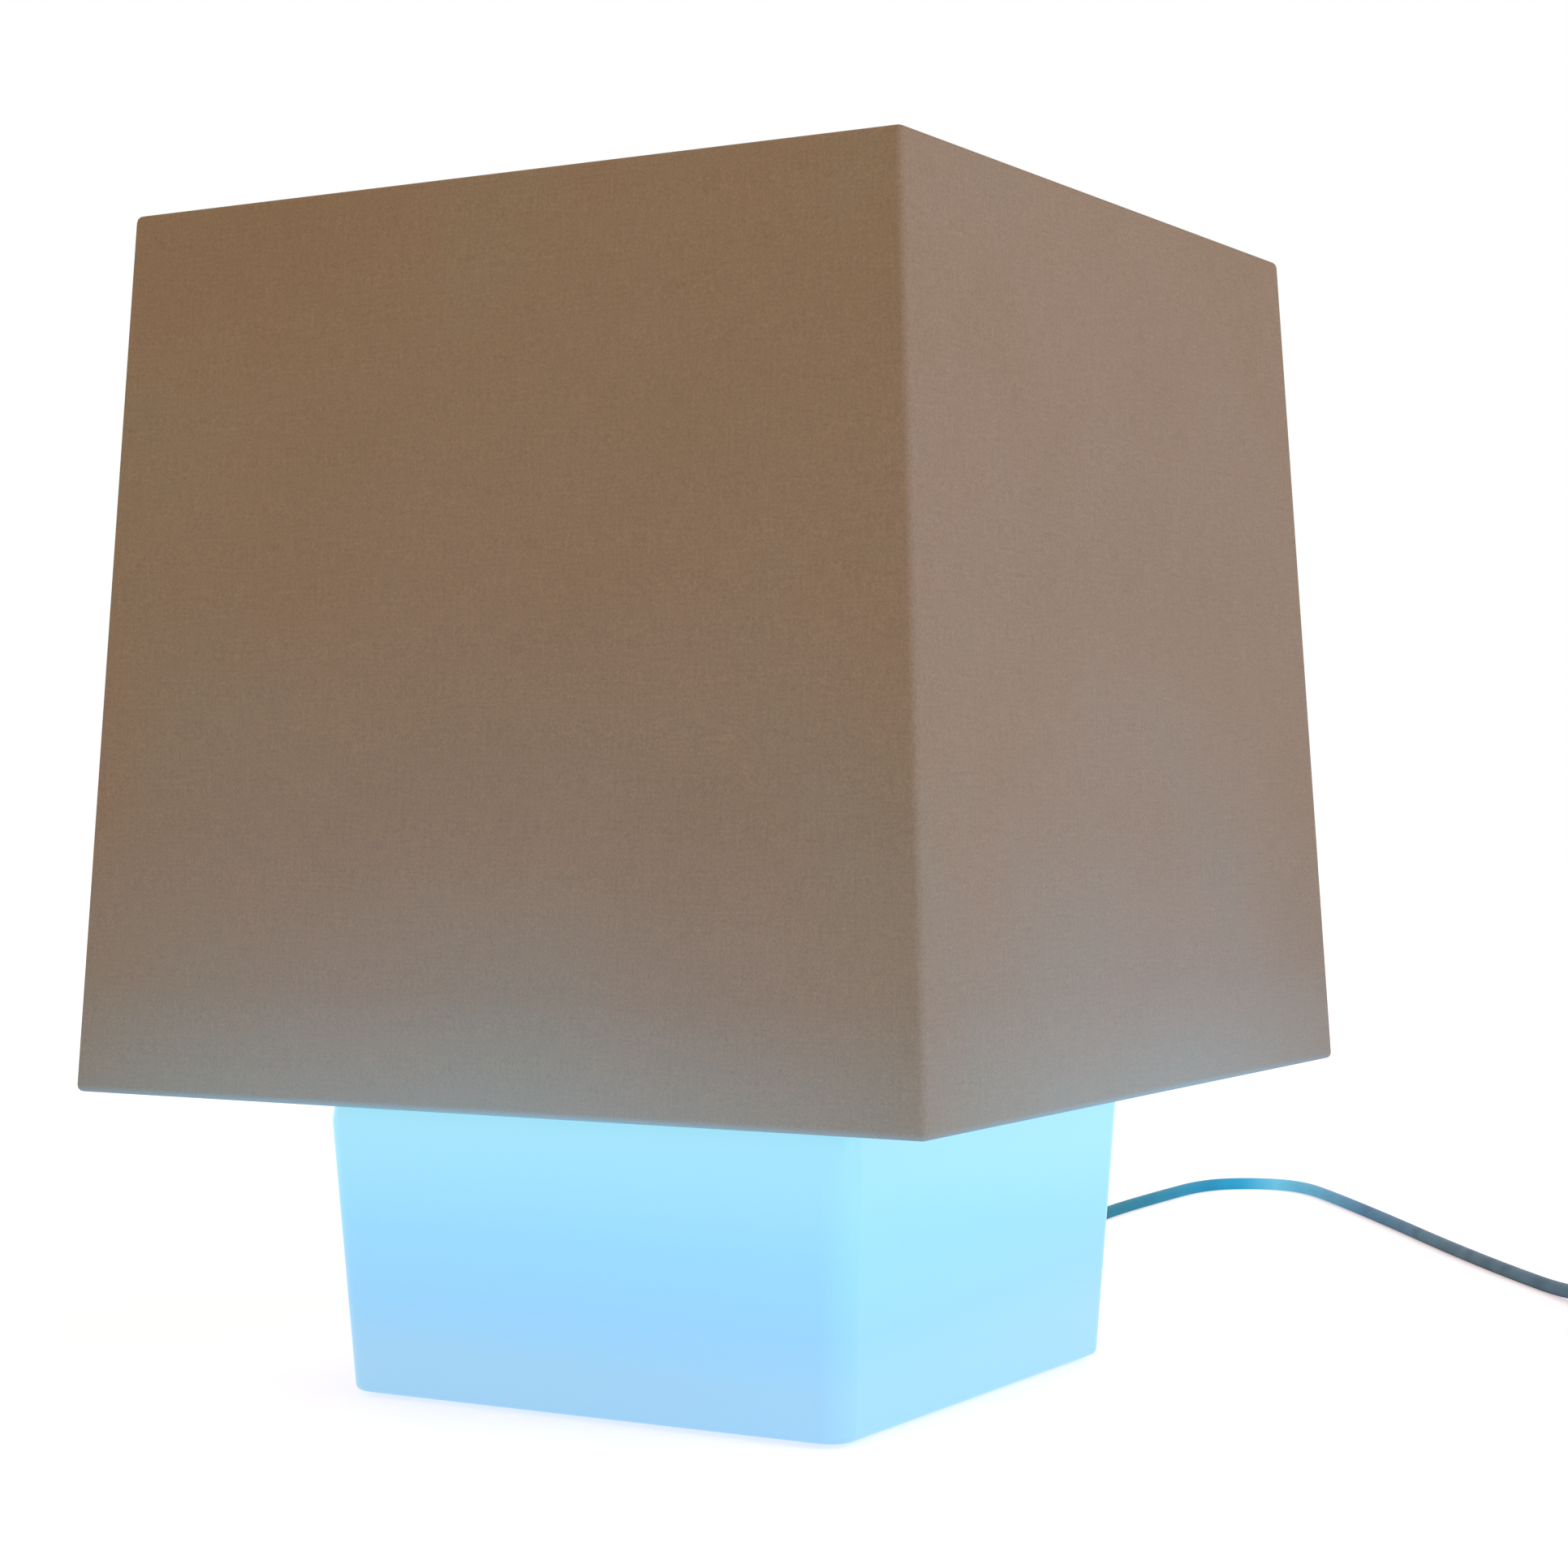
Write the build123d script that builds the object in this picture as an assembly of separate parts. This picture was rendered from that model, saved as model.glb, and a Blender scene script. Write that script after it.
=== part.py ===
"""Table lamp: a square tapered fabric shade over a cube of opal glass that is lit from inside.

Millimetres, +Z up. The origin is on the table, under the middle of the glass. The front of the
glass faces -Y, and the mains cord leaves through the back at +Y.
"""
from build123d import *
import math
import os

# ---------------------------------------------------------------- driving dimensions
# Feet
FOOT_HEIGHT = 1.5
FOOT_DIAMETER = 11.0
FOOT_FROM_EDGE = 16.0

# Glass cube
GLASS_WIDTH = 169.0            # across the flats at the bottom
GLASS_HEIGHT = 110.5
GLASS_LEAN = 3.47              # degrees that each side leans outwards
GLASS_WALL = 4.0
GLASS_EDGE_RADIUS = 8.0        # upright edges
GLASS_FOOT_RADIUS = 2.0
SHOULDER_RADIUS = 31.0
SHOULDER_CORNER = 22.0         # corner radius of the flat top
SERVICE_HOLE = 110.0

# Base plate under the glass
PLATE_DIAMETER = 131.0
PLATE_THICKNESS = 1.5
PLATE_RECESS_GAP = 1.5         # all round, between plate and recess
PLATE_LIFT = 0.3               # plate's underside above the glass's underside
GASKET_THICKNESS = 0.8
GASKET_SHARE = 0.863           # its bore as a share of the plate's diameter
BEAD_SHARE = 0.8               # pressed stiffening ring's diameter, as a share too
BEAD_RADIUS = 1.0

# Stirrup that ties the plate to the neck
STIRRUP_WIDTH = 76.0
STIRRUP_STRIP = 16.0
STIRRUP_THICKNESS = 2.0
STIRRUP_BEND = 5.0
STIRRUP_FOOT = 15.0
STIRRUP_BELOW_GLASS = 4.0      # from the inner top of the glass down to the stirrup

# Threaded tube and what it clamps
TUBE_DIAMETER = 10.0
TUBE_BORE = 7.0
TUBE_HOLE = 10.4
TUBE_END = 3.0                 # tube beyond its lower nut
NUT_ACROSS_FLATS = 14.0
NUT_HEIGHT = 3.0
TOP_GASKET_DIAMETER = 58.0
TOP_GASKET_THICKNESS = 1.5
CAP_DIAMETER = 64.0
CAP_HEIGHT = 5.0
CAP_THICKNESS = 1.2

# Screws
M4 = 4.0
M3 = 3.0
SCREW_CLEARANCE = 0.4
HEAD_RATIO = 1.9               # head diameter to thread diameter

# Lower lampholder, for a small screw cap
LOWER_HOLDER_DIAMETER = 28.0
LOWER_HOLDER_HEIGHT = 36.0
LOWER_FLANGE_DIAMETER = 41.0
LOWER_FLANGE_THICKNESS = 4.0
LOWER_CAP_DIAMETER = 13.9
LOWER_CAP_LENGTH = 24.0
LOWER_GLOBE_DIAMETER = 45.0
LOWER_BULB_LENGTH = 76.0       # from the contact to the top of the globe

# Upper lampholder, for a full-size screw cap
UPPER_DOME_HEIGHT = 18.0
UPPER_DOME_DIAMETER = 38.0
UPPER_FLANGE_DIAMETER = 47.0
UPPER_FLANGE_THICKNESS = 2.5
UPPER_SKIRT_DIAMETER = 39.6
UPPER_SKIRT_HEIGHT = 26.0
UPPER_CAP_DIAMETER = 26.4
UPPER_CAP_LENGTH = 24.0
UPPER_GLOBE_DIAMETER = 60.0
UPPER_BULB_LENGTH = 108.0
HOLDER_WALL = 2.4
INSULATOR_THICKNESS = 4.0
CONTACT_SHEET = 0.5
CAP_PLAY = 0.3                 # screw cap in its contact shell
CONTACT_PIP_HEIGHT = 1.2
GLOBE_WALL = 1.2

# Ring nut that holds the shade down
RING_NUT_DIAMETER = 56.0
RING_NUT_HEIGHT = 9.0
RING_NUT_FLANGE = 3.0
RING_NUT_COLLAR = 47.0
RING_NUT_RIBS = 24
THREAD_PLAY = 0.3

# Shade
SHADE_WIDTH = 280.0            # across the flats at the bottom
SHADE_TOP_WIDTH = 254.4
SHADE_HEIGHT = 255.3
SHADE_FROM_TABLE = 92.3
SHADE_CORNER = 2.0
CLOTH_THICKNESS = 0.6
PANEL_THICKNESS = 0.9
LAYER_GAP = 0.05
WIRE_DIAMETER = 3.0
FITTER_THICKNESS = 2.0
FITTER_DIAMETER = 64.0
FITTER_PLAY = 0.5              # radial, on the lampholder
FITTER_AXIAL_PLAY = 0.3
ARM_DIAMETER = 3.0
ARM_LEVEL_RUN = 14.0
ARM_BEND = 12.0

# Mains cord
CORD_DIAMETER = 5.0
CORD_HEIGHT = 13.0             # of the hole in the glass, above the glass's underside
CORD_HOLE = 9.0
RELIEF_LENGTH = 26.0
RELIEF_COLLAR = 14.0
RELIEF_COLLAR_THICKNESS = 2.0
RELIEF_TIP = 6.8
RELIEF_RIBS = 4
RELIEF_BRIDGE = 2.6            # rubber left between neighbouring ribs
HOLE_FACE_DIAMETER = 17.0      # ground flat round the hole
HOLE_FACE_DEPTH = 0.9
CLAMP_FROM_CENTRE = 44.5
CLAMP_LENGTH = 8.0
CLAMP_WIDTH = 26.0
STRAP_THICKNESS = 1.0
BLOCK_FROM_CENTRE = 30.5
BLOCK_SIZE = (28.0, 10.0, 11.0)
BLOCK_POLES = 3
POLE_SPACING = 5.2
BLOCK_SCREW = 2.6
WIRE_INSULATION = 2.2
WIRE_BEND = 5.0
TUBE_WIRE_BEND = 3.2

# Cord switch with two rockers
SWITCH_LENGTH = 76.0
SWITCH_WIDTH = 34.0
SWITCH_SPLIT = 8.5             # height of the joint line, and of the cord in it
SWITCH_HEIGHT = 17.0
SWITCH_WALL = 1.8
SWITCH_CORNER = 8.0
SWITCH_EDGE = 2.5
ROCKER_WIDTH = 10.5
ROCKER_REACH = 12.2            # radius of its ends about the pivot
ROCKER_RISE = 5.0              # of its ends above the pivot, half way
ROCKER_DISH = 1.4
ROCKER_DEPTH = 3.0
ROCKER_TILT = 8.0              # each way from half way
ROCKER_GAP = 0.35
ROCKER_SPACING = 14.4
PIVOT_BELOW_TOP = 4.0
PIVOT_DIAMETER = 2.5
PIVOT_LENGTH = 1.2
PIVOT_PLAY = 0.3
POST_DIAMETER = 7.6
SWITCH_SCREW = 2.5
SWITCH_SCREW_DEPTH = 2.2       # of the counterbores under the switch
EAR_LENGTH = 8.0
SWITCH_BLOCK = (8.0, 20.0, 7.5)
CORD_IN_SWITCH = 14.0

# Flat two-pin plug
PLUG_LENGTH = 36.0
PLUG_WIDTH = 35.3
PLUG_THICKNESS = 13.7
PLUG_NECK = 10.6
PLUG_RELIEF_LENGTH = 24.0
PIN_DIAMETER = 4.0
PIN_LENGTH = 19.0
PIN_SPACING = 18.6
SLEEVE_LENGTH = 10.0
SLEEVE_DIAMETER = 3.8
PIN_CORE = 2.8

# Coil of the spare cord
COIL_RADIUS = 35.0             # of the outermost half turn
COIL_PITCH = 5.5               # from turn to turn, and from layer to layer
COIL_HALF_TURNS = 4            # on each layer, before and after the climb
COIL_FROM_SWITCH = 84.0        # from the middle of the switch
TAIL_LENGTH = 40.0

# Route of the cord from the relief to the switch: chosen by hand, as it lies on the table
ROUTE_ON_TABLE = [
    (-1.0, 170.0),
    (-6.0, 215.0),
    (-21.0, 264.0),
    (-43.5, 322.0),
    (-51.0, 384.0),
    (-52.0, 440.0),
    (-51.5, 485.0),
    (-34.5, 502.0),
    (-11.0, 501.5),
    (17.5, 468.0),
    (62.0, 411.0),
    (104.0, 355.0),
    (143.0, 306.0),
    (181.0, 262.0),
]
SWITCH_HEADING = -51.5         # degrees from +X, of the cord through the switch
ROUTE_RISE_RUN = 37.5          # last run on the table, up to the switch
ROUTE_LAST_RUN = 34.0          # level run into the switch
ROUTE_FIRST_RUN = 22.0         # level run out of the relief

# ---------------------------------------------------------------- derived sizes
LEAN_TAN = math.tan(math.radians(GLASS_LEAN))
GLASS_BOTTOM = FOOT_HEIGHT
GLASS_TOP = GLASS_BOTTOM + GLASS_HEIGHT
RECESS_DEPTH = PLATE_LIFT + PLATE_THICKNESS + GASKET_THICKNESS
GLASS_FLOOR = GLASS_WALL + RECESS_DEPTH
RECESS_DIAMETER = PLATE_DIAMETER + 2 * PLATE_RECESS_GAP
PLATE_BOTTOM = GLASS_BOTTOM + PLATE_LIFT
PLATE_TOP = PLATE_BOTTOM + PLATE_THICKNESS
STIRRUP_TOP = GLASS_TOP - GLASS_WALL - STIRRUP_BELOW_GLASS
STIRRUP_HEIGHT = STIRRUP_TOP - PLATE_TOP
TUBE_BOTTOM = STIRRUP_TOP - STIRRUP_THICKNESS - NUT_HEIGHT - TUBE_END
CAP_BOTTOM = GLASS_TOP + TOP_GASKET_THICKNESS
CAP_TOP = CAP_BOTTOM + CAP_HEIGHT
UPPER_HOLDER_BOTTOM = CAP_TOP + NUT_HEIGHT
TUBE_TOP = UPPER_HOLDER_BOTTOM + 0.4 * UPPER_DOME_HEIGHT
FLANGE_BOTTOM = UPPER_HOLDER_BOTTOM + UPPER_DOME_HEIGHT
FLANGE_TOP = FLANGE_BOTTOM + UPPER_FLANGE_THICKNESS
SKIRT_TOP = FLANGE_TOP + UPPER_SKIRT_HEIGHT
FITTER_BOTTOM = FLANGE_TOP + FITTER_AXIAL_PLAY
RING_NUT_BOTTOM = FITTER_BOTTOM + FITTER_THICKNESS + FITTER_AXIAL_PLAY
LOWER_HOLDER_TOP = PLATE_TOP + LOWER_HOLDER_HEIGHT
SHADE_TOP = SHADE_FROM_TABLE + SHADE_HEIGHT
SHADE_SLOPE = (SHADE_TOP_WIDTH - SHADE_WIDTH) / 2 / SHADE_HEIGHT
WIRE_INSET = CLOTH_THICKNESS + PANEL_THICKNESS + 2 * LAYER_GAP + WIRE_DIAMETER / 2
CORD_RADIUS = CORD_DIAMETER / 2
CORD_Z = GLASS_BOTTOM + CORD_HEIGHT
HEADING = (math.cos(math.radians(SWITCH_HEADING)), math.sin(math.radians(SWITCH_HEADING)))


def glass_half(z):
    """Half width of the glass at a height below its shoulder."""
    return GLASS_WIDTH / 2 + (z - GLASS_BOTTOM) * LEAN_TAN


def shade_half(z):
    """Half width of the outside of the shade at a height."""
    return SHADE_WIDTH / 2 + (z - SHADE_FROM_TABLE) * SHADE_SLOPE


BACK_FACE = glass_half(CORD_Z) - HOLE_FACE_DEPTH
RELIEF_END = BACK_FACE + RELIEF_LENGTH
WALL_INSIDE = BACK_FACE - GLASS_WALL + 2 * HOLE_FACE_DEPTH


# ---------------------------------------------------------------- helpers
def disc(diameter, bottom, height):
    """Upright cylinder about the middle axis."""
    return Pos(0, 0, bottom) * Cylinder(diameter / 2, height, align=(Align.CENTER, Align.CENTER, Align.MIN))


def ring(outer, inner, bottom, height):
    """Upright tube about the middle axis."""
    return disc(outer, bottom, height) - disc(inner, bottom, height)


def block(size, bottom):
    """Box centred on the middle axis, on a height."""
    return Pos(0, 0, bottom) * Box(*size, align=(Align.CENTER, Align.CENTER, Align.MIN))


def turned(points):
    """Solid of revolution about Z from an outline of (radius, height) points."""
    outline = Plane.XZ * make_face(Polyline(*points, close=True))
    return revolve(outline, Axis.Z)


def rounded_square(half, corner, z):
    return Pos(0, 0, z) * RectangleRounded(2 * half, 2 * half, corner)


def pan_head_screw(diameter, length):
    """Screw with its head's underside at the origin and its shank downwards."""
    head = diameter * HEAD_RATIO
    height = 0.6 * diameter
    screw = disc(head, 0, height) + disc(diameter, -length, length)
    rim = screw.edges().group_by(Axis.Z)[-1]
    screw = fillet(rim, 0.45 * height)
    slot = block((head, 0.22 * diameter, height), 0.5 * height)
    return screw - slot


def hex_nut(bottom):
    nut = extrude(Pos(0, 0, bottom) * RegularPolygon(NUT_ACROSS_FLATS / 2, 6, major_radius=False), NUT_HEIGHT)
    return nut - disc(TUBE_DIAMETER, bottom, NUT_HEIGHT)


def tube_along(path, diameter):
    """Round tube along a wire, started square to its first edge."""
    start = Plane(path @ 0, z_dir=path % 0)
    return sweep(start * Circle(diameter / 2), path)


def bend_radii(points):
    """Radius for each corner: 0.45 of the shorter run, over the tangent of half the turn."""
    radii = []
    for before, corner, after in zip(points, points[1:], points[2:]):
        arrive = Vector(*corner) - Vector(*before)
        leave = Vector(*after) - Vector(*corner)
        half_turn = math.radians(arrive.get_angle(leave)) / 2
        radii.append(0.45 * min(arrive.length, leave.length) / math.tan(half_turn))
    return radii


def bent_path(points, radii=None):
    return FilletPolyline(*points, radius=radii or bend_radii(points))


def save(name, shape):
    """Writes one sub-part under its node's name."""
    shape.label = name
    export_step(shape, os.path.join("parts", name + ".step"))


# ---------------------------------------------------------------- glass and base
def glass_form(inset, bottom):
    """The glass's outer form, or the same form drawn in by a wall, from a height up."""
    radius = SHOULDER_RADIUS - inset
    corner = GLASS_EDGE_RADIUS - inset
    centre_z = GLASS_TOP - SHOULDER_RADIUS
    lean = math.radians(GLASS_LEAN)
    start_z = centre_z - radius * math.sin(lean)
    drawn_in = inset / math.cos(lean)
    start_half = glass_half(start_z) - drawn_in
    centre_half = start_half - radius * math.cos(lean)
    sides = loft([
        rounded_square(glass_half(bottom) - drawn_in, corner, bottom),
        rounded_square(start_half, corner, start_z),
    ])
    sections = []
    for angle in (-GLASS_LEAN, 15, 35, 55, 73, 90):
        turn = math.radians(angle)
        share = (start_half - centre_half - radius * math.cos(turn)) / radius
        sections.append(rounded_square(
            centre_half + radius * math.cos(turn),
            corner + (SHOULDER_CORNER - corner) * max(share, 0) ** 1.2,
            centre_z + radius * math.sin(turn),
        ))
    return sides, loft(sections)


def make_glass_body():
    sides, shoulder = glass_form(0, GLASS_BOTTOM)
    sides = fillet(sides.edges().group_by(Axis.Z)[0], GLASS_FOOT_RADIUS)
    inner_sides, inner_shoulder = glass_form(GLASS_WALL, GLASS_BOTTOM + GLASS_FLOOR)
    glass = sides + shoulder - (inner_sides + inner_shoulder)
    glass -= disc(RECESS_DIAMETER, GLASS_BOTTOM, RECESS_DEPTH)
    glass -= disc(SERVICE_HOLE, GLASS_BOTTOM, GLASS_FLOOR)
    glass -= disc(TUBE_HOLE, GLASS_TOP - GLASS_WALL, GLASS_WALL)
    back = Plane((0, BACK_FACE, CORD_Z), z_dir=(0, 1, 0))
    inside = Plane((0, WALL_INSIDE, CORD_Z), z_dir=(0, -1, 0))
    glass -= extrude(back * Circle(HOLE_FACE_DIAMETER / 2), 4 * HOLE_FACE_DEPTH)
    glass -= extrude(inside * Circle(HOLE_FACE_DIAMETER / 2), 3 * HOLE_FACE_DEPTH)
    glass -= extrude(back * Circle(CORD_HOLE / 2), 2 * GLASS_WALL, both=True)
    return glass


def make_feet():
    place = GLASS_WIDTH / 2 - FOOT_FROM_EDGE
    foot = disc(FOOT_DIAMETER, 0, FOOT_HEIGHT)
    foot = chamfer(foot.edges().group_by(Axis.Z)[0], 0.3 * FOOT_HEIGHT)
    return [Pos(x, y, 0) * foot for x in (-place, place) for y in (-place, place)]


def make_base_plate():
    plate = disc(PLATE_DIAMETER, PLATE_BOTTOM, PLATE_THICKNESS)
    plate = fillet(plate.edges().group_by(Axis.Z)[0], 0.4 * PLATE_THICKNESS)
    bead = Torus(BEAD_SHARE * PLATE_DIAMETER / 2, BEAD_RADIUS)
    plate += Pos(0, 0, PLATE_BOTTOM) * bead - disc(2 * PLATE_DIAMETER, PLATE_BOTTOM, PLATE_THICKNESS)
    plate -= Pos(0, 0, PLATE_TOP) * bead
    for x, y, diameter in plate_screw_places():
        plate -= Pos(x, y, 0) * disc(diameter, 0, PLATE_TOP)
    return plate


def plate_screw_places():
    """Where screws enter the plate: x, y and thread."""
    places = [(side * stirrup_screw_x(), 0, M4) for side in (-1, 1)]
    places += [(0, side * lower_screw_y(), M3) for side in (-1, 1)]
    places += [(side * clamp_screw_x(), CLAMP_FROM_CENTRE, M3) for side in (-1, 1)]
    places += [(side * block_screw_x(), BLOCK_FROM_CENTRE, BLOCK_SCREW) for side in (-1, 1)]
    return places


def stirrup_screw_x():
    return STIRRUP_WIDTH / 2 - STIRRUP_FOOT * 0.62


def lower_screw_y():
    return (LOWER_HOLDER_DIAMETER + LOWER_FLANGE_DIAMETER) / 4 + 0.2


def clamp_screw_x():
    return CLAMP_WIDTH / 2 - 1.3 * M3


def block_screw_x():
    return BLOCK_SIZE[0] / 2 - BLOCK_SCREW


def make_base_gasket():
    return ring(PLATE_DIAMETER, GASKET_SHARE * PLATE_DIAMETER, PLATE_TOP, GASKET_THICKNESS)


def make_stirrup():
    outer = RectangleRounded(STIRRUP_WIDTH, STIRRUP_HEIGHT, STIRRUP_BEND)
    inner = RectangleRounded(
        STIRRUP_WIDTH - 2 * STIRRUP_THICKNESS,
        STIRRUP_HEIGHT - 2 * STIRRUP_THICKNESS,
        STIRRUP_BEND - STIRRUP_THICKNESS,
    )
    frame = Plane.XZ.offset(-STIRRUP_STRIP / 2) * (outer - inner)
    stirrup = Pos(0, 0, PLATE_TOP + STIRRUP_HEIGHT / 2) * extrude(frame, STIRRUP_STRIP)
    gap = STIRRUP_WIDTH - 2 * STIRRUP_FOOT
    stirrup -= block((gap, STIRRUP_STRIP, STIRRUP_THICKNESS), PLATE_TOP)
    stirrup -= disc(TUBE_HOLE, STIRRUP_TOP - STIRRUP_THICKNESS, STIRRUP_THICKNESS)
    for side in (-1, 1):
        hole = disc(M4 + SCREW_CLEARANCE, PLATE_TOP, STIRRUP_THICKNESS)
        stirrup -= Pos(side * stirrup_screw_x(), 0, 0) * hole
    return stirrup


def make_stirrup_screws():
    screw = pan_head_screw(M4, STIRRUP_THICKNESS + PLATE_THICKNESS)
    return [Pos(side * stirrup_screw_x(), 0, PLATE_TOP + STIRRUP_THICKNESS) * screw for side in (-1, 1)]


# ---------------------------------------------------------------- lower light
def lower_bore():
    return LOWER_CAP_DIAMETER + 2 * (CAP_PLAY + CONTACT_SHEET)


def cap_bottom(holder_top, cap_length):
    """Height of a screw cap's lower end, with the cap screwed home in its holder."""
    return holder_top - cap_length


def make_lower_lampholder():
    bore = lower_bore()
    floor = cap_bottom(LOWER_HOLDER_TOP, LOWER_CAP_LENGTH) - CONTACT_PIP_HEIGHT - 2 * CONTACT_SHEET
    body = disc(LOWER_FLANGE_DIAMETER, PLATE_TOP, LOWER_FLANGE_THICKNESS)
    body += disc(LOWER_HOLDER_DIAMETER, PLATE_TOP, LOWER_HOLDER_HEIGHT)
    body = fillet(body.edges().group_by(Axis.Z)[-1], 1.5)
    body -= disc(bore, floor, LOWER_HOLDER_TOP)
    for side in (-1, 1):
        hole = disc(M3 + SCREW_CLEARANCE, PLATE_TOP, LOWER_FLANGE_THICKNESS)
        body -= Pos(0, side * lower_screw_y(), 0) * hole
    return body


def make_lower_holder_screws():
    screw = pan_head_screw(M3, LOWER_FLANGE_THICKNESS + PLATE_THICKNESS)
    top = PLATE_TOP + LOWER_FLANGE_THICKNESS
    return [Pos(0, side * lower_screw_y(), top) * screw for side in (-1, 1)]


def contact_shell(cap_diameter, cap_length, holder_top):
    """Sheet sleeve round a screw cap."""
    bottom = cap_bottom(holder_top, cap_length) + 0.15 * cap_length
    height = 0.6 * cap_length
    inner = cap_diameter + 2 * CAP_PLAY
    return ring(inner + 2 * CONTACT_SHEET, inner, bottom, height)


def centre_contact(cap_diameter, cap_length, holder_top):
    """Sprung tongue under a screw cap."""
    top = cap_bottom(holder_top, cap_length) - CONTACT_PIP_HEIGHT
    length = 0.8 * cap_diameter
    return block((length, 0.3 * cap_diameter, 2 * CONTACT_SHEET), top - 2 * CONTACT_SHEET)


def bulb_cap(diameter, length, holder_top):
    """Screw cap with its centre contact."""
    bottom = cap_bottom(holder_top, length)
    shell = disc(diameter, bottom + 0.15 * length, 0.85 * length)
    shell += Pos(0, 0, bottom) * Cone(0.28 * diameter, 0.5 * diameter, 0.15 * length,
                                      align=(Align.CENTER, Align.CENTER, Align.MIN))
    return shell + disc(0.32 * diameter, bottom - CONTACT_PIP_HEIGHT, CONTACT_PIP_HEIGHT)


def bulb_parts(cap_diameter, cap_length, holder_top, globe, length):
    """Housing and globe of an LED bulb: a cone that widens into a truncated ball."""
    radius = globe / 2
    top = cap_bottom(holder_top, cap_length) - CONTACT_PIP_HEIGHT + length
    centre = top - radius
    cut = -0.72 * radius
    cut_radius = math.sqrt(radius ** 2 - cut ** 2)
    joint = centre + cut
    neck = cap_diameter / 2 + 1.5
    outline = Polyline((0, holder_top), (neck, holder_top), (neck, holder_top + 3))
    flare = Line((neck, holder_top + 3), (cut_radius, joint))
    close = Polyline((cut_radius, joint), (0, joint), (0, holder_top))
    housing = revolve(Plane.XZ * make_face([*outline.edges(), flare, *close.edges()]), Axis.Z)
    ball = Pos(0, 0, centre) * (Sphere(radius) - Sphere(radius - GLOBE_WALL))
    ball -= disc(2 * globe, joint - globe, globe)
    return housing, ball


# ---------------------------------------------------------------- wiring in the base
def make_clamp_saddle():
    height = CORD_Z - PLATE_TOP
    saddle = block((CLAMP_WIDTH, CLAMP_LENGTH, height), PLATE_TOP)
    saddle = Pos(0, CLAMP_FROM_CENTRE, 0) * saddle
    groove = Plane((0, 0, CORD_Z), z_dir=(0, 1, 0)) * Circle(CORD_RADIUS)
    saddle -= extrude(groove, 2 * CLAMP_FROM_CENTRE)
    for side in (-1, 1):
        saddle -= Pos(side * clamp_screw_x(), CLAMP_FROM_CENTRE, 0) * disc(M3, PLATE_TOP, height)
    return saddle


def make_clamp_strap():
    arch = CORD_RADIUS + STRAP_THICKNESS
    face = Rectangle(CLAMP_WIDTH, STRAP_THICKNESS, align=(Align.CENTER, Align.MIN))
    face += Circle(arch)
    face -= Circle(CORD_RADIUS)
    face -= Rectangle(CLAMP_WIDTH, 2 * arch, align=(Align.CENTER, Align.MAX))
    start = Plane((0, CLAMP_FROM_CENTRE + CLAMP_LENGTH / 2, CORD_Z), x_dir=(1, 0, 0), z_dir=(0, -1, 0))
    strap = extrude(start * face, CLAMP_LENGTH)
    for side in (-1, 1):
        hole = disc(M3 + SCREW_CLEARANCE, CORD_Z, STRAP_THICKNESS)
        strap -= Pos(side * clamp_screw_x(), CLAMP_FROM_CENTRE, 0) * hole
    return strap


def make_clamp_screws():
    top = CORD_Z + STRAP_THICKNESS
    screw = pan_head_screw(M3, top - PLATE_BOTTOM)
    return [Pos(side * clamp_screw_x(), CLAMP_FROM_CENTRE, top) * screw for side in (-1, 1)]


def pole_x(pole):
    return (pole - (BLOCK_POLES - 1) / 2) * POLE_SPACING


def pole_height():
    return PLATE_TOP + 0.5 * BLOCK_SIZE[2]


def make_terminal_block():
    width, depth, height = BLOCK_SIZE
    body = block((width, depth, 0.45 * height), PLATE_TOP)
    body += block((BLOCK_POLES * POLE_SPACING, depth, height), PLATE_TOP)
    for pole in range(BLOCK_POLES):
        bore = Plane((pole_x(pole), 0, pole_height()), z_dir=(0, 1, 0)) * Circle(0.5 * WIRE_INSULATION)
        body -= extrude(bore, depth, both=True)
        body -= Pos(pole_x(pole), 0, 0) * disc(M3 - 0.2, pole_height(), height)
    for side in (-1, 1):
        body -= Pos(side * block_screw_x(), 0, 0) * disc(BLOCK_SCREW + SCREW_CLEARANCE, PLATE_TOP, height)
    return Pos(0, BLOCK_FROM_CENTRE, 0) * body


def make_terminal_screws():
    """Three grub screws that press on the wires, and two screws into the plate."""
    grub_bottom = pole_height() + 0.5 * WIRE_INSULATION
    grub = disc(M3 - 0.2, grub_bottom, PLATE_TOP + 0.92 * BLOCK_SIZE[2] - grub_bottom)
    screws = [Pos(pole_x(pole), BLOCK_FROM_CENTRE, 0) * grub for pole in range(BLOCK_POLES)]
    foot = 0.45 * BLOCK_SIZE[2]
    fixing = pan_head_screw(BLOCK_SCREW, foot + PLATE_THICKNESS)
    for side in (-1, 1):
        screws.append(Pos(side * block_screw_x(), BLOCK_FROM_CENTRE, PLATE_TOP + foot) * fixing)
    return screws


def make_cord_end():
    """The sheathed cord inside the base, from the relief to its stripped end."""
    end = CLAMP_FROM_CENTRE - CLAMP_LENGTH / 2 - 1
    start = Plane((0, WALL_INSIDE - RELIEF_COLLAR_THICKNESS, CORD_Z), z_dir=(0, -1, 0))
    return extrude(start * Circle(CORD_RADIUS), WALL_INSIDE - RELIEF_COLLAR_THICKNESS - end)


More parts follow.
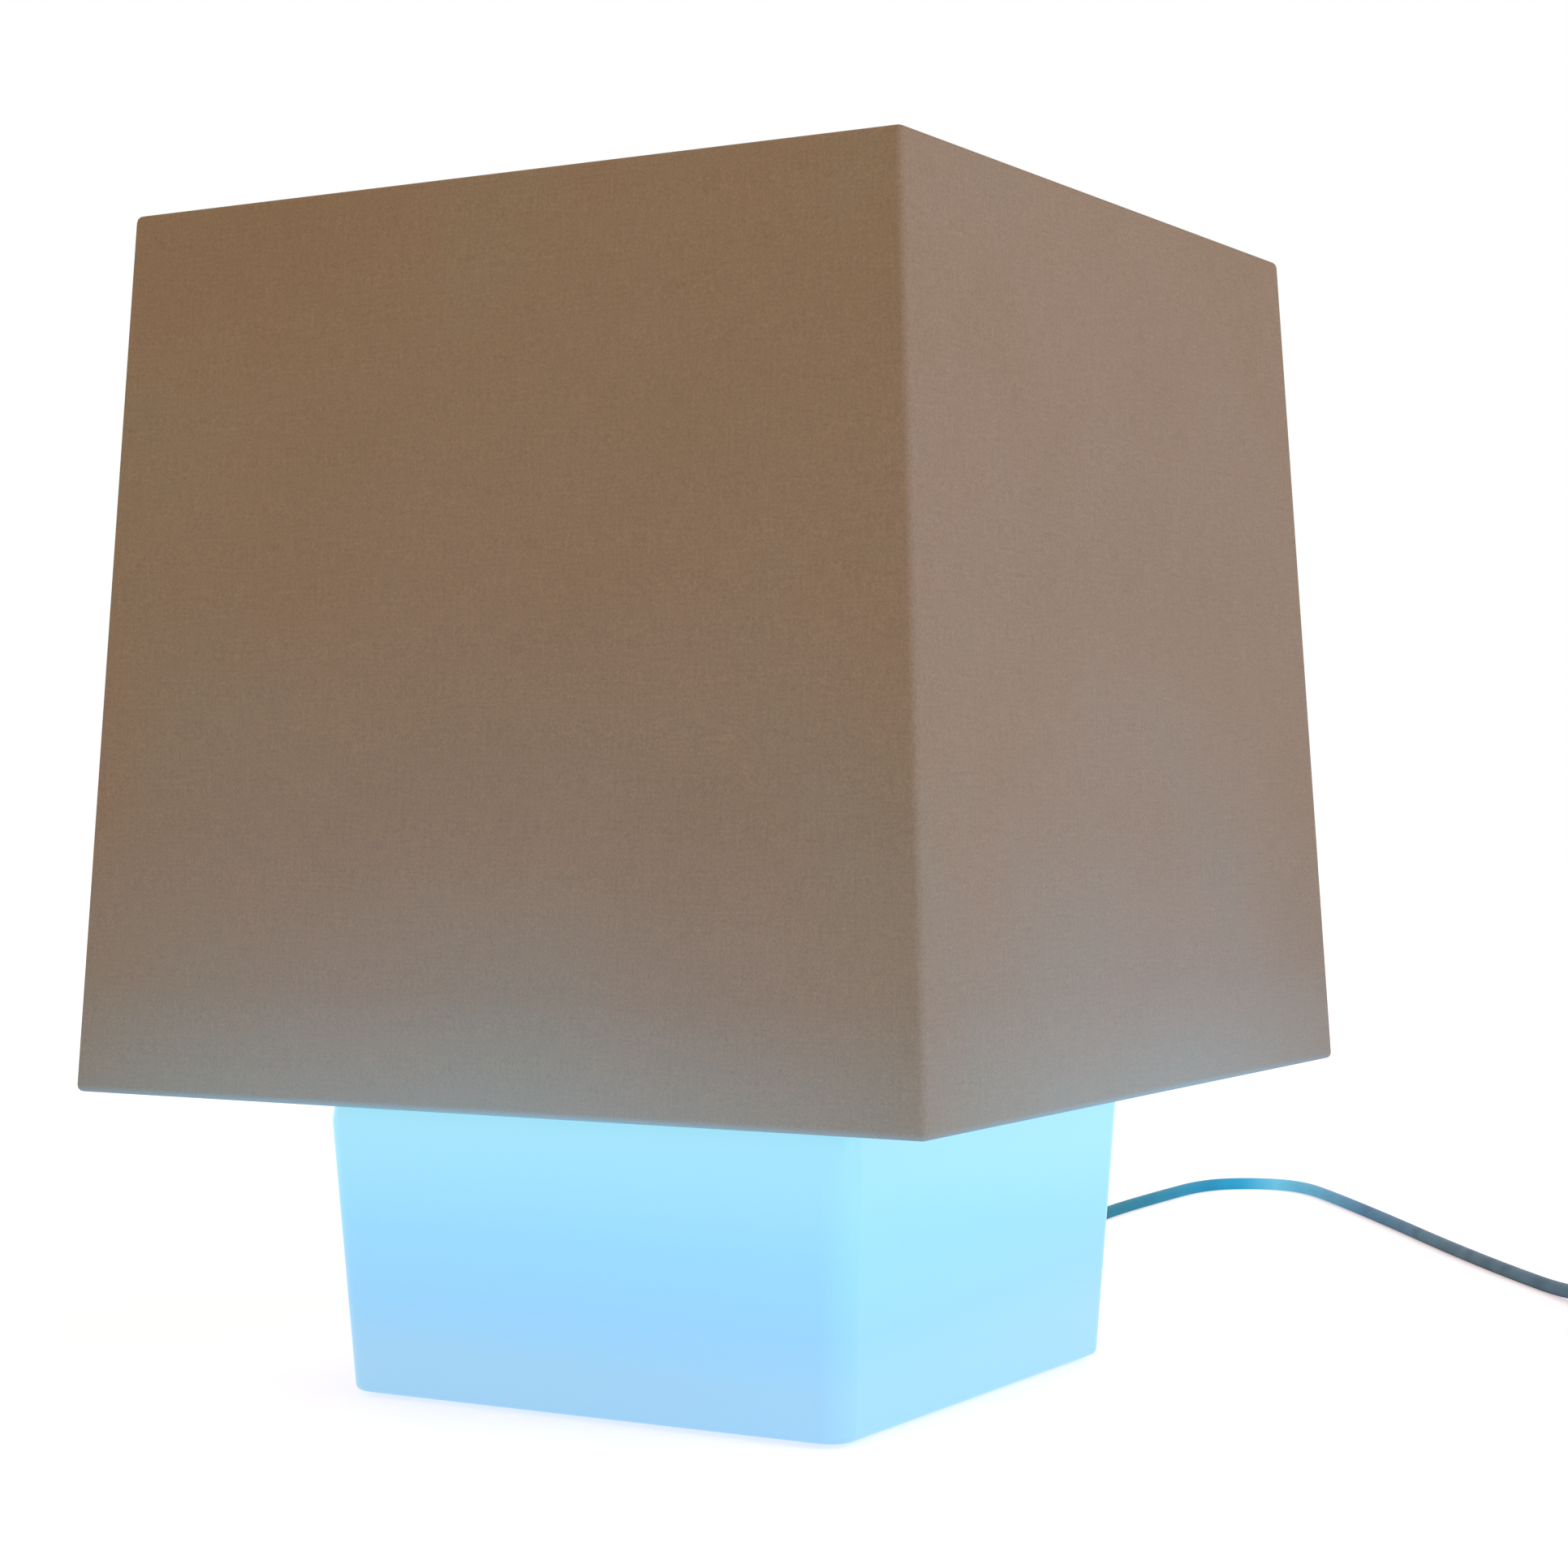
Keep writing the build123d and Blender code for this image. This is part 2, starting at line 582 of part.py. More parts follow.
def make_supply_wires():
    """Three cores from the stripped end of the cord to the terminal block."""
    start_y = CLAMP_FROM_CENTRE - CLAMP_LENGTH / 2 - 1
    end_y = BLOCK_FROM_CENTRE + 0.15 * BLOCK_SIZE[1]
    wires = []
    for pole in range(BLOCK_POLES):
        x = pole_x(pole)
        near = 0.24 * x
        points = [
            (near, start_y, CORD_Z),
            (near, start_y - 1.2, CORD_Z),
            (x, BLOCK_FROM_CENTRE + BLOCK_SIZE[1] / 2 + 1.0, pole_height()),
            (x, end_y, pole_height()),
        ]
        wires.append(tube_along(bent_path(points, [0.9, 0.9]), 0.8 * WIRE_INSULATION / 2))
    return wires


def make_lower_wires():
    """Two wires from the terminal block into the side of the lower lampholder."""
    start_y = BLOCK_FROM_CENTRE - 0.15 * BLOCK_SIZE[1]
    wires = []
    for pole in (0, 1):
        x = pole_x(pole)
        level = PLATE_TOP + LOWER_FLANGE_THICKNESS + 7 + 4 * pole
        inner_edge = max(abs(x) - WIRE_INSULATION / 2, 0)
        holder_side = math.sqrt((LOWER_HOLDER_DIAMETER / 2) ** 2 - inner_edge ** 2) + 0.1
        points = [
            (x, start_y, pole_height()),
            (x, BLOCK_FROM_CENTRE - BLOCK_SIZE[1] / 2 - 2.5, pole_height()),
            (x, BLOCK_FROM_CENTRE - BLOCK_SIZE[1] / 2 - 5.5, level),
            (x, holder_side, level),
        ]
        wires.append(tube_along(bent_path(points), 0.8 * WIRE_INSULATION))
    return wires


def make_upper_wires():
    """Two wires from the terminal block up one leg of the stirrup and through the threaded tube."""
    leg = STIRRUP_WIDTH / 2 - STIRRUP_THICKNESS - WIRE_INSULATION
    crown = TUBE_BOTTOM - TUBE_WIRE_BEND - 0.3
    wires = []
    for number, pole in enumerate((0, 2)):
        y = (number - 0.5) * 1.2 * WIRE_INSULATION
        top = PLATE_TOP + BLOCK_SIZE[2] + 0.2
        lift = top + WIRE_BEND + 4 * number
        points = [
            (pole_x(pole), BLOCK_FROM_CENTRE, top),
            (pole_x(pole), BLOCK_FROM_CENTRE, lift + 5),
            (-leg, y + WIRE_BEND, lift + 14),
            (-leg, y, lift + 26),
            (-leg, y, crown),
            (0, y, crown),
            (0, y, UPPER_HOLDER_BOTTOM + 4),
        ]
        bends = [WIRE_BEND, WIRE_BEND, WIRE_BEND, WIRE_BEND, TUBE_WIRE_BEND]
        wires.append(tube_along(bent_path(points, bends), 0.8 * WIRE_INSULATION))
    return wires


# ---------------------------------------------------------------- neck and upper light
def make_threaded_tube():
    return ring(TUBE_DIAMETER, TUBE_BORE, TUBE_BOTTOM, TUBE_TOP - TUBE_BOTTOM)


def make_tube_nuts():
    return [hex_nut(STIRRUP_TOP - STIRRUP_THICKNESS - NUT_HEIGHT), hex_nut(CAP_TOP)]


def make_top_gasket():
    return ring(TOP_GASKET_DIAMETER, TUBE_HOLE, GLASS_TOP, TOP_GASKET_THICKNESS)


def make_top_cap():
    """Dished steel cap over the neck of the glass."""
    rim = CAP_DIAMETER / 2
    seat = rim * 0.45
    points = [
        (TUBE_HOLE / 2, CAP_TOP),
        (seat, CAP_TOP),
        (rim - 3, CAP_BOTTOM + CAP_THICKNESS + 1),
        (rim, CAP_BOTTOM + CAP_THICKNESS),
        (rim, CAP_BOTTOM),
        (rim - 4, CAP_BOTTOM),
        (seat - 0.5, CAP_TOP - CAP_THICKNESS),
        (TUBE_HOLE / 2, CAP_TOP - CAP_THICKNESS),
    ]
    return turned(points)


def make_upper_holder_dome():
    """Lower half of the lampholder, screwed to the threaded tube."""
    rim = UPPER_DOME_DIAMETER / 2
    throat = TUBE_DIAMETER / 2
    neck = throat + HOLDER_WALL + 1
    inside = rim - HOLDER_WALL
    points = [
        (throat, UPPER_HOLDER_BOTTOM),
        (neck, UPPER_HOLDER_BOTTOM),
        (neck, UPPER_HOLDER_BOTTOM + 4),
        (rim - 2, UPPER_HOLDER_BOTTOM + 8),
        (rim, UPPER_HOLDER_BOTTOM + 11),
        (rim, FLANGE_BOTTOM),
        (inside, FLANGE_BOTTOM),
        (inside, UPPER_HOLDER_BOTTOM + 11.5),
        (neck, TUBE_TOP + 1),
        (throat, TUBE_TOP + 1),
    ]
    return turned(points)


def upper_shell_outer():
    return UPPER_CAP_DIAMETER + 2 * (CAP_PLAY + CONTACT_SHEET)


def make_upper_holder_skirt():
    """Upper half: the flange that carries the shade, and the threaded skirt round the cap."""
    skirt = disc(UPPER_FLANGE_DIAMETER, FLANGE_BOTTOM, UPPER_FLANGE_THICKNESS)
    skirt += disc(UPPER_SKIRT_DIAMETER, FLANGE_BOTTOM, UPPER_FLANGE_THICKNESS + UPPER_SKIRT_HEIGHT)
    skirt = chamfer(skirt.edges().group_by(Axis.Z)[-1], 0.8)
    return skirt - disc(upper_shell_outer(), FLANGE_BOTTOM, SKIRT_TOP)


def make_upper_insulator():
    """Ceramic disc in the dome that holds the contacts."""
    bottom = FLANGE_BOTTOM - INSULATOR_THICKNESS
    body = disc(UPPER_DOME_DIAMETER - 2 * HOLDER_WALL, bottom, INSULATOR_THICKNESS)
    for side in (-1, 1):
        body -= Pos(0, side * 0.24 * UPPER_DOME_DIAMETER, 0) * disc(WIRE_INSULATION, bottom, INSULATOR_THICKNESS)
    return body


def make_ring_nut():
    """Knurled nut on the skirt, which keeps the shade's fitter on the flange."""
    nut = disc(RING_NUT_DIAMETER, RING_NUT_BOTTOM, RING_NUT_FLANGE)
    nut += disc(RING_NUT_COLLAR, RING_NUT_BOTTOM, RING_NUT_HEIGHT)
    nut = fillet(nut.edges().group_by(Axis.Z)[-1], 0.8)
    nut -= disc(UPPER_SKIRT_DIAMETER + 2 * THREAD_PLAY, RING_NUT_BOTTOM, RING_NUT_HEIGHT)
    notch = disc(2.4, RING_NUT_BOTTOM, RING_NUT_FLANGE)
    nut -= PolarLocations(RING_NUT_DIAMETER / 2 + 0.5, RING_NUT_RIBS) * notch
    return nut


# ---------------------------------------------------------------- shade
def shade_block(inset, bottom, top):
    """Solid tapered square with the shade's slope, drawn in by an inset."""
    corner = max(SHADE_CORNER - inset, 0.6)
    return loft([
        rounded_square(shade_half(bottom) - inset, corner, bottom),
        rounded_square(shade_half(top) - inset, corner, top),
    ])


def make_shade_cloth():
    """Cloth sleeve whose hems turn in over the edges of the panels and the wires."""
    lip = WIRE_INSET + WIRE_DIAMETER / 2 + 0.2
    cloth = shade_block(0, SHADE_FROM_TABLE, SHADE_TOP)
    cloth -= shade_block(CLOTH_THICKNESS, SHADE_FROM_TABLE + CLOTH_THICKNESS, SHADE_TOP - CLOTH_THICKNESS)
    return cloth - shade_block(lip, SHADE_FROM_TABLE - 1, SHADE_TOP + 1)


def make_shade_panel():
    """Front panel of the stiff liner; the others are turned copies."""
    low = SHADE_FROM_TABLE + CLOTH_THICKNESS + LAYER_GAP
    high = SHADE_TOP - CLOTH_THICKNESS - LAYER_GAP
    inset = CLOTH_THICKNESS + LAYER_GAP + PANEL_THICKNESS / 2
    sections = []
    for z in (low, high):
        half = shade_half(z)
        across = 2 * (half - SHADE_CORNER)
        sections.append(Pos(0, inset - half, z) * Rectangle(across, PANEL_THICKNESS))
    return loft(sections)


def make_shade_wire(z):
    """Square loop of wire inside one edge of the shade."""
    half = shade_half(z) - WIRE_INSET
    corner = SHADE_CORNER + WIRE_DIAMETER / 2
    path = rounded_square(half, corner, z).face().outer_wire()
    return tube_along(path, WIRE_DIAMETER)


def lower_wire_z():
    return SHADE_FROM_TABLE + CLOTH_THICKNESS + WIRE_DIAMETER / 2 + LAYER_GAP


def upper_wire_z():
    return SHADE_TOP - CLOTH_THICKNESS - WIRE_DIAMETER / 2 - LAYER_GAP


def make_shade_fitter():
    """Washer on the lampholder with four arms down to the lower wire."""
    bore = UPPER_SKIRT_DIAMETER + 2 * FITTER_PLAY
    fitter = ring(FITTER_DIAMETER, bore, FITTER_BOTTOM, FITTER_THICKNESS)
    level = FITTER_BOTTOM + FITTER_THICKNESS / 2
    start = RING_NUT_DIAMETER / 2 + 1.5
    end = shade_half(lower_wire_z()) - WIRE_INSET - WIRE_DIAMETER / 2
    points = [
        (start, 0, level),
        (start + ARM_LEVEL_RUN, 0, level),
        (end - ARM_LEVEL_RUN, 0, lower_wire_z()),
        (end, 0, lower_wire_z()),
    ]
    arm = tube_along(bent_path(points, [ARM_BEND, ARM_BEND]), ARM_DIAMETER)
    for turn in range(4):
        fitter += Rot(0, 0, 90 * turn) * arm
    return fitter


# ---------------------------------------------------------------- cord relief
def make_cord_relief():
    """Tapered sleeve through the wall, with a collar on each side of the glass."""
    y = BACK_FACE
    collar = RELIEF_COLLAR / 2
    thick = RELIEF_COLLAR_THICKNESS
    root = 0.5 * (CORD_HOLE + 1.0)
    outline = [
        (CORD_RADIUS, WALL_INSIDE - thick),
        (collar - 1, WALL_INSIDE - thick),
        (collar - 1, WALL_INSIDE),
        (CORD_HOLE / 2 - 0.1, WALL_INSIDE),
        (CORD_HOLE / 2 - 0.1, y),
        (collar, y),
        (collar, y + thick - 0.6),
        (collar - 0.6, y + thick),
        (root, y + thick),
        (RELIEF_TIP / 2, RELIEF_END),
        (CORD_RADIUS, RELIEF_END),
    ]
    sleeve = turned(outline)
    step = (RELIEF_LENGTH - thick) / (RELIEF_RIBS + 1)
    for rib in range(RELIEF_RIBS):
        at = y + thick + step * (rib + 0.7)
        groove = ring(3 * collar, CORD_DIAMETER + 1.6, at, 0.35 * step)
        sleeve -= groove - block((RELIEF_BRIDGE, 4 * collar, step), at - 0.3 * step)
    return Pos(0, 0, CORD_Z) * Rot(-90, 0, 0) * sleeve


# ---------------------------------------------------------------- cord on the table
def lead_route():
    """Points from the end of the relief to the inside of the switch."""
    route = [(0, RELIEF_END, CORD_Z), (0, RELIEF_END + ROUTE_FIRST_RUN, CORD_Z)]
    route += [(x, y, CORD_RADIUS) for x, y in ROUTE_ON_TABLE]
    x, y, _ = route[-1]
    for run in (ROUTE_RISE_RUN, ROUTE_LAST_RUN):
        x += run * HEADING[0]
        y += run * HEADING[1]
        route.append((x, y, SWITCH_SPLIT))
    return route


def switch_place():
    """Middle of the switch on the table, turned to the cord's heading."""
    x, y, _ = lead_route()[-1]
    reach = SWITCH_LENGTH / 2 - CORD_IN_SWITCH
    return Location((x + reach * HEADING[0], y + reach * HEADING[1], 0), (0, 0, SWITCH_HEADING))


def make_cord_lead():
    points = lead_route()
    path = bent_path(points)
    print("cord radii", [round(radius) for radius in bend_radii(points)])
    tube = tube_along(path, CORD_DIAMETER)
    section = math.pi * CORD_RADIUS ** 2
    ratio = tube.volume / section / path.length
    print("cord lead length", round(path.length, 1), "volume ratio", round(ratio, 4))
    return tube, path.length


def half_turn(start, radius, side, climb=0.0):
    """Half turn to the left from a start point: side is 1 on the way out and -1 on the way back."""
    reach = math.sqrt(4 * radius ** 2 - climb ** 2)
    end = (start[0], start[1] + side * reach, start[2] + climb)
    middle = (start[0] + side * radius, (start[1] + end[1]) / 2, (start[2] + end[2]) / 2)
    return ThreePointArc(start, middle, end), end


def coil_path():
    """Lead-in from the switch, two layers of turns, and a tail to the plug, in the switch's own frame."""
    first = SWITCH_LENGTH / 2 - CORD_IN_SWITCH
    start = (COIL_FROM_SWITCH, 0, CORD_RADIUS)
    lead_in = bent_path([
        (first, 0, SWITCH_SPLIT),
        (first + 26, 0, SWITCH_SPLIT),
        (COIL_FROM_SWITCH - 12, 0, CORD_RADIUS),
        start,
    ])
    edges = list(lead_in.edges())
    inwards = [COIL_RADIUS - step * COIL_PITCH / 2 for step in range(COIL_HALF_TURNS)]
    climb_radius = COIL_RADIUS - COIL_HALF_TURNS * COIL_PITCH / 2
    radii = inwards + [climb_radius] + inwards[::-1]
    side = 1
    for number, radius in enumerate(radii):
        climb = COIL_PITCH if number == COIL_HALF_TURNS else 0.0
        arc, start = half_turn(start, radius, side, climb)
        edges.append(arc)
        side = -side
    x, y, z = start
    low = PLUG_THICKNESS / 2
    tail = bent_path([(x, y, z), (x - 10, y, z), (x - 28, y, low), (x - TAIL_LENGTH, y, low)])
    edges += list(tail.edges())
    return Wire(edges), (x - TAIL_LENGTH, y)


def least_gap(path):
    """Smallest distance between turns of the coil, less the cord's diameter."""
    count = 700
    points = [path @ (step / count) for step in range(count + 1)]
    spacing = path.length / count
    apart = int(4 * CORD_DIAMETER / spacing)
    least = min(
        (points[a] - points[b]).length
        for a in range(len(points))
        for b in range(a + apart, len(points))
    )
    return least - CORD_DIAMETER


def make_cord_coil():
    path, _ = coil_path()
    tube = tube_along(path, CORD_DIAMETER)
    section = math.pi * CORD_RADIUS ** 2
    print("coil length", round(path.length, 1), "volume ratio", round(tube.volume / section / path.length, 4))
    print("coil least gap", round(least_gap(path), 2))
    return switch_place() * tube, path.length


# ---------------------------------------------------------------- cord switch
def switch_shell(bottom, height):
    """Rounded slab of the switch's outline."""
    return extrude(Pos(0, 0, bottom) * RectangleRounded(SWITCH_LENGTH, SWITCH_WIDTH, SWITCH_CORNER), height)


def switch_cavity(bottom, height):
    inner = RectangleRounded(
        SWITCH_LENGTH - 2 * SWITCH_WALL, SWITCH_WIDTH - 2 * SWITCH_WALL, SWITCH_CORNER - SWITCH_WALL)
    return extrude(Pos(0, 0, bottom) * inner, height)


def cord_passage(clearance):
    """Hole through both ends of the switch, for the cord."""
    start = Plane((-SWITCH_LENGTH, 0, SWITCH_SPLIT), z_dir=(1, 0, 0))
    return extrude(start * Circle(CORD_RADIUS + clearance), 2 * SWITCH_LENGTH)


def switch_posts():
    return [(x, y) for x in (-SWITCH_LENGTH / 2 + 8, SWITCH_LENGTH / 2 - 8) for y in (-9.5, 9.5)]


def make_switch_base():
    base = switch_shell(0, SWITCH_SPLIT)
    base = fillet(base.edges().group_by(Axis.Z)[0], 1.2)
    base -= switch_cavity(SWITCH_WALL, SWITCH_SPLIT)
    for x, y in switch_posts():
        base += Pos(x, y, 0) * disc(POST_DIAMETER, 0.5 * SWITCH_WALL, SWITCH_SPLIT - 0.5 * SWITCH_WALL)
        base -= Pos(x, y, 0) * disc(SWITCH_SCREW + SCREW_CLEARANCE, 0, SWITCH_SPLIT)
        base -= Pos(x, y, 0) * disc(SWITCH_SCREW * HEAD_RATIO + 0.6, 0, SWITCH_SCREW_DEPTH)
    return base - cord_passage(0.1)


def pivot_height():
    return SWITCH_HEIGHT - PIVOT_BELOW_TOP


def rocker_window(y):
    size = (2 * (ROCKER_REACH + ROCKER_GAP), ROCKER_WIDTH + 2 * ROCKER_GAP, SWITCH_HEIGHT)
    return Pos(0, y, 0) * block(size, SWITCH_SPLIT)


def make_switch_cover():
    cover = switch_shell(SWITCH_SPLIT, SWITCH_HEIGHT - SWITCH_SPLIT)
    cover = fillet(cover.edges().group_by(Axis.Z)[-1], SWITCH_EDGE)
    cover -= switch_cavity(SWITCH_SPLIT, SWITCH_HEIGHT - SWITCH_SPLIT - SWITCH_WALL)
    ears = block((EAR_LENGTH, 2 * (ROCKER_SPACING / 2 + ROCKER_WIDTH / 2 + ROCKER_GAP + 1.9), 6.5),
                 pivot_height() - 2.5)
    cover += ears & switch_shell(SWITCH_SPLIT, SWITCH_HEIGHT - SWITCH_SPLIT - 0.5 * SWITCH_WALL)
    post = disc(POST_DIAMETER, SWITCH_SPLIT, SWITCH_HEIGHT - SWITCH_SPLIT - 0.5 * SWITCH_WALL)
    for x, y in switch_posts():
        cover += Pos(x, y, 0) * post
        cover -= Pos(x, y, 0) * disc(SWITCH_SCREW, SWITCH_SPLIT, 5.0)
    for side in (-1, 1):
        cover -= rocker_window(side * ROCKER_SPACING / 2)
    shaft = Plane((0, -SWITCH_WIDTH / 2 + SWITCH_WALL + 0.4, pivot_height()), z_dir=(0, 1, 0))
    cover -= extrude(shaft * Circle(PIVOT_DIAMETER / 2 + PIVOT_PLAY), SWITCH_WIDTH - 2 * SWITCH_WALL - 0.8)
    return cover - cord_passage(0.1)


def make_rocker(y, tilt):
    """Rocker with a dished top and two stub pivots, tilted about them."""
    top = ROCKER_RISE
    reach = math.sqrt(ROCKER_REACH ** 2 - top ** 2)
    low = math.sqrt(ROCKER_REACH ** 2 - ROCKER_DEPTH ** 2)
    outline = [
        ThreePointArc((-reach, top), (0, top - ROCKER_DISH), (reach, top)),
        ThreePointArc((reach, top), (ROCKER_REACH, 0), (low, -ROCKER_DEPTH)),
        Line((low, -ROCKER_DEPTH), (-low, -ROCKER_DEPTH)),
        ThreePointArc((-low, -ROCKER_DEPTH), (-ROCKER_REACH, 0), (-reach, top)),
    ]
    start = Plane((0, ROCKER_WIDTH / 2, 0), x_dir=(1, 0, 0), z_dir=(0, -1, 0))
    rocker = extrude(start * make_face(outline), ROCKER_WIDTH)
    hollow = block((2 * low - 5, ROCKER_WIDTH - 2.6, ROCKER_DEPTH - 0.6), -ROCKER_DEPTH)
    rocker -= hollow - block((5, ROCKER_WIDTH, ROCKER_DEPTH), -ROCKER_DEPTH)
    pin = Plane((0, 0, 0), z_dir=(0, 1, 0)) * Circle(PIVOT_DIAMETER / 2)
    rocker += extrude(pin, ROCKER_WIDTH / 2 + PIVOT_LENGTH, both=True)
    return Pos(0, y, pivot_height()) * Rot(0, tilt, 0) * rocker


def make_switch_screws():
    screw = Rot(180, 0, 0) * pan_head_screw(SWITCH_SCREW, SWITCH_SPLIT + 2.0)
    return [Pos(x, y, SWITCH_SCREW_DEPTH) * screw for x, y in switch_posts()]


def make_switch_terminals():
    """Brass carriers at each end, where the cores are clamped."""
    width, depth, height = SWITCH_BLOCK
    reach = SWITCH_LENGTH / 2 - CORD_IN_SWITCH
    carrier = block(SWITCH_BLOCK, SWITCH_WALL)
    return [Pos(side * (reach - width / 2), 0, 0) * carrier for side in (-1, 1)]


# ---------------------------------------------------------------- plug
def plug_place():
    """Frame at the end of the tail: X runs on from the cord towards the pins."""
    _, (x, y) = coil_path()
    return switch_place() * Location((x, y, PLUG_THICKNESS / 2), (0, 0, 180))


def make_plug_relief():
    thin = RELIEF_TIP / 2
    thick = PLUG_NECK / 2 - 0.6
    sleeve = turned([(0, 0), (thin, 0), (thick, PLUG_RELIEF_LENGTH), (0, PLUG_RELIEF_LENGTH)])
    step = PLUG_RELIEF_LENGTH / (RELIEF_RIBS + 1)
    for rib in range(RELIEF_RIBS):
        at = step * (rib + 0.5)
        groove = ring(4 * thick, CORD_DIAMETER + 0.8, at, 0.35 * step)
        sleeve -= groove - block((RELIEF_BRIDGE, 5 * thick, step), at - 0.3 * step)
    return plug_place() * Rot(0, 90, 0) * sleeve


def make_plug_body():
    """Flat plug that widens from its neck to the face with the pins."""
    stations = [
        (0.0, PLUG_NECK, PLUG_NECK, 0.45 * PLUG_NECK),
        (0.3, 0.52 * PLUG_WIDTH, 0.9 * PLUG_THICKNESS, 0.4 * PLUG_THICKNESS),
        (0.72, 0.9 * PLUG_WIDTH, PLUG_THICKNESS, 0.44 * PLUG_THICKNESS),
        (1.0, PLUG_WIDTH, PLUG_THICKNESS, 0.44 * PLUG_THICKNESS),
    ]
    sections = []
    for share, width, height, corner in stations:
        plane = Plane((PLUG_RELIEF_LENGTH + share * PLUG_LENGTH, 0, 0), x_dir=(0, 1, 0), z_dir=(1, 0, 0))
        sections.append(plane * RectangleRounded(width, height, corner))
    body = loft(sections, ruled=True)
    for side in (-1, 1):
        seat = pin_plane(side)
        body -= extrude(seat * Circle(PIN_CORE / 2), -8)
    return plug_place() * body


def pin_plane(side):
    face = PLUG_RELIEF_LENGTH + PLUG_LENGTH
    return Plane((face, side * PIN_SPACING / 2, 0), x_dir=(0, 1, 0), z_dir=(1, 0, 0))


def make_plug_pins():
    pins = []
    for side in (-1, 1):
        seat = pin_plane(side)
        pin = extrude(seat * Circle(PIN_CORE / 2), SLEEVE_LENGTH)
        pin += extrude(seat * Circle(PIN_CORE / 2), -8)
        tip = extrude(seat.offset(SLEEVE_LENGTH) * Circle(PIN_DIAMETER / 2), PIN_LENGTH - SLEEVE_LENGTH)
        tip = fillet(tip.edges().sort_by(Axis.X)[-1], 0.42 * PIN_DIAMETER)
        pins.append(plug_place() * (pin + tip))
    return pins


def make_pin_sleeves():
    sleeves = []
    for side in (-1, 1):
        seat = pin_plane(side)
        sleeve = extrude(seat * (Circle(SLEEVE_DIAMETER / 2) - Circle(PIN_CORE / 2)), SLEEVE_LENGTH)
        sleeves.append(plug_place() * sleeve)
    return sleeves


# ---------------------------------------------------------------- assembly
def main():
    os.makedirs("parts", exist_ok=True)

    save("glass_body", make_glass_body())
    save("foot_pads", Compound(children=make_feet()))
    save("base_plate", make_base_plate())
    save("base_gasket", make_base_gasket())
    save("stirrup", make_stirrup())
    save("stirrup_screws", Compound(children=make_stirrup_screws()))

    save("lower_lampholder", make_lower_lampholder())
    save("lower_holder_screws", Compound(children=make_lower_holder_screws()))
    lower = (LOWER_CAP_DIAMETER, LOWER_CAP_LENGTH, LOWER_HOLDER_TOP)
    save("lower_contact_shell", contact_shell(*lower))
    save("lower_centre_contact", centre_contact(*lower))
    save("lower_bulb_cap", bulb_cap(*lower))
    housing, globe = bulb_parts(*lower, LOWER_GLOBE_DIAMETER, LOWER_BULB_LENGTH)
    save("lower_bulb_housing", housing)
    save("lower_bulb_globe", globe)

    save("clamp_saddle", make_clamp_saddle())
    save("clamp_strap", make_clamp_strap())
    save("clamp_screws", Compound(children=make_clamp_screws()))
    save("terminal_block", make_terminal_block())
    save("terminal_screws", Compound(children=make_terminal_screws()))
    save("cord_end", make_cord_end())
    save("supply_wires", Compound(children=make_supply_wires()))
    save("lower_wires", Compound(children=make_lower_wires()))
    save("upper_wires", Compound(children=make_upper_wires()))
    save("cord_relief", make_cord_relief())

    save("threaded_tube", make_threaded_tube())
    save("tube_nuts", Compound(children=make_tube_nuts()))
    save("top_gasket", make_top_gasket())
    save("top_cap", make_top_cap())
    save("upper_holder_dome", make_upper_holder_dome())
    save("upper_holder_skirt", make_upper_holder_skirt())
    save("upper_insulator", make_upper_insulator())
    upper = (UPPER_CAP_DIAMETER, UPPER_CAP_LENGTH, SKIRT_TOP)
    save("upper_contact_shell", contact_shell(*upper))
    save("upper_centre_contact", centre_contact(*upper))
    save("upper_bulb_cap", bulb_cap(*upper))
    housing, globe = bulb_parts(*upper, UPPER_GLOBE_DIAMETER, UPPER_BULB_LENGTH)
    save("upper_bulb_housing", housing)
    save("upper_bulb_globe", globe)
    save("shade_ring_nut", make_ring_nut())

    save("shade_cloth", make_shade_cloth())
    panel = make_shade_panel()
    for number, side in enumerate(("front", "right", "back", "left")):
        save("shade_panel_" + side, Rot(0, 0, 90 * number) * panel)
    save("shade_lower_wire", make_shade_wire(lower_wire_z()))
    save("shade_upper_wire", make_shade_wire(upper_wire_z()))
    save("shade_fitter", make_shade_fitter())

    lead, lead_length = make_cord_lead()
    coil, coil_length = make_cord_coil()
    save("cord_lead", lead)
    save("cord_coil", coil)
    through = SWITCH_LENGTH - 2 * CORD_IN_SWITCH
    print("whole cord", round(lead_length + through + coil_length, 1))

    place = switch_place()
    save("switch_base", place * make_switch_base())
    save("switch_cover", place * make_switch_cover())
    save("switch_rocker_base", place * make_rocker(ROCKER_SPACING / 2, ROCKER_TILT))
    save("switch_rocker_shade", place * make_rocker(-ROCKER_SPACING / 2, -ROCKER_TILT))
    save("switch_screws", Compound(children=[place * screw for screw in make_switch_screws()]))
    save("switch_terminals", Compound(children=[place * part for part in make_switch_terminals()]))

    save("plug_relief", make_plug_relief())
    save("plug_body", make_plug_body())
    save("plug_pins", Compound(children=make_plug_pins()))
    save("plug_pin_sleeves", Compound(children=make_pin_sleeves()))


main()
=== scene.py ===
"""Looks of a table lamp: a square tapered fabric shade over a cube of opal glass that is lit from inside.

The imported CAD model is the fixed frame. Rigid nodes, the glass and the bulbs' globes keep their own shape and
get a material here. The shade's cloth and the mains cord are new pieces that stand for their nodes.
"""

import math

import bmesh
import bpy
from bpy.props import FloatProperty, FloatVectorProperty, IntProperty, PointerProperty
from bpy.types import Operator, Panel, PropertyGroup
from mathutils import Matrix, Vector


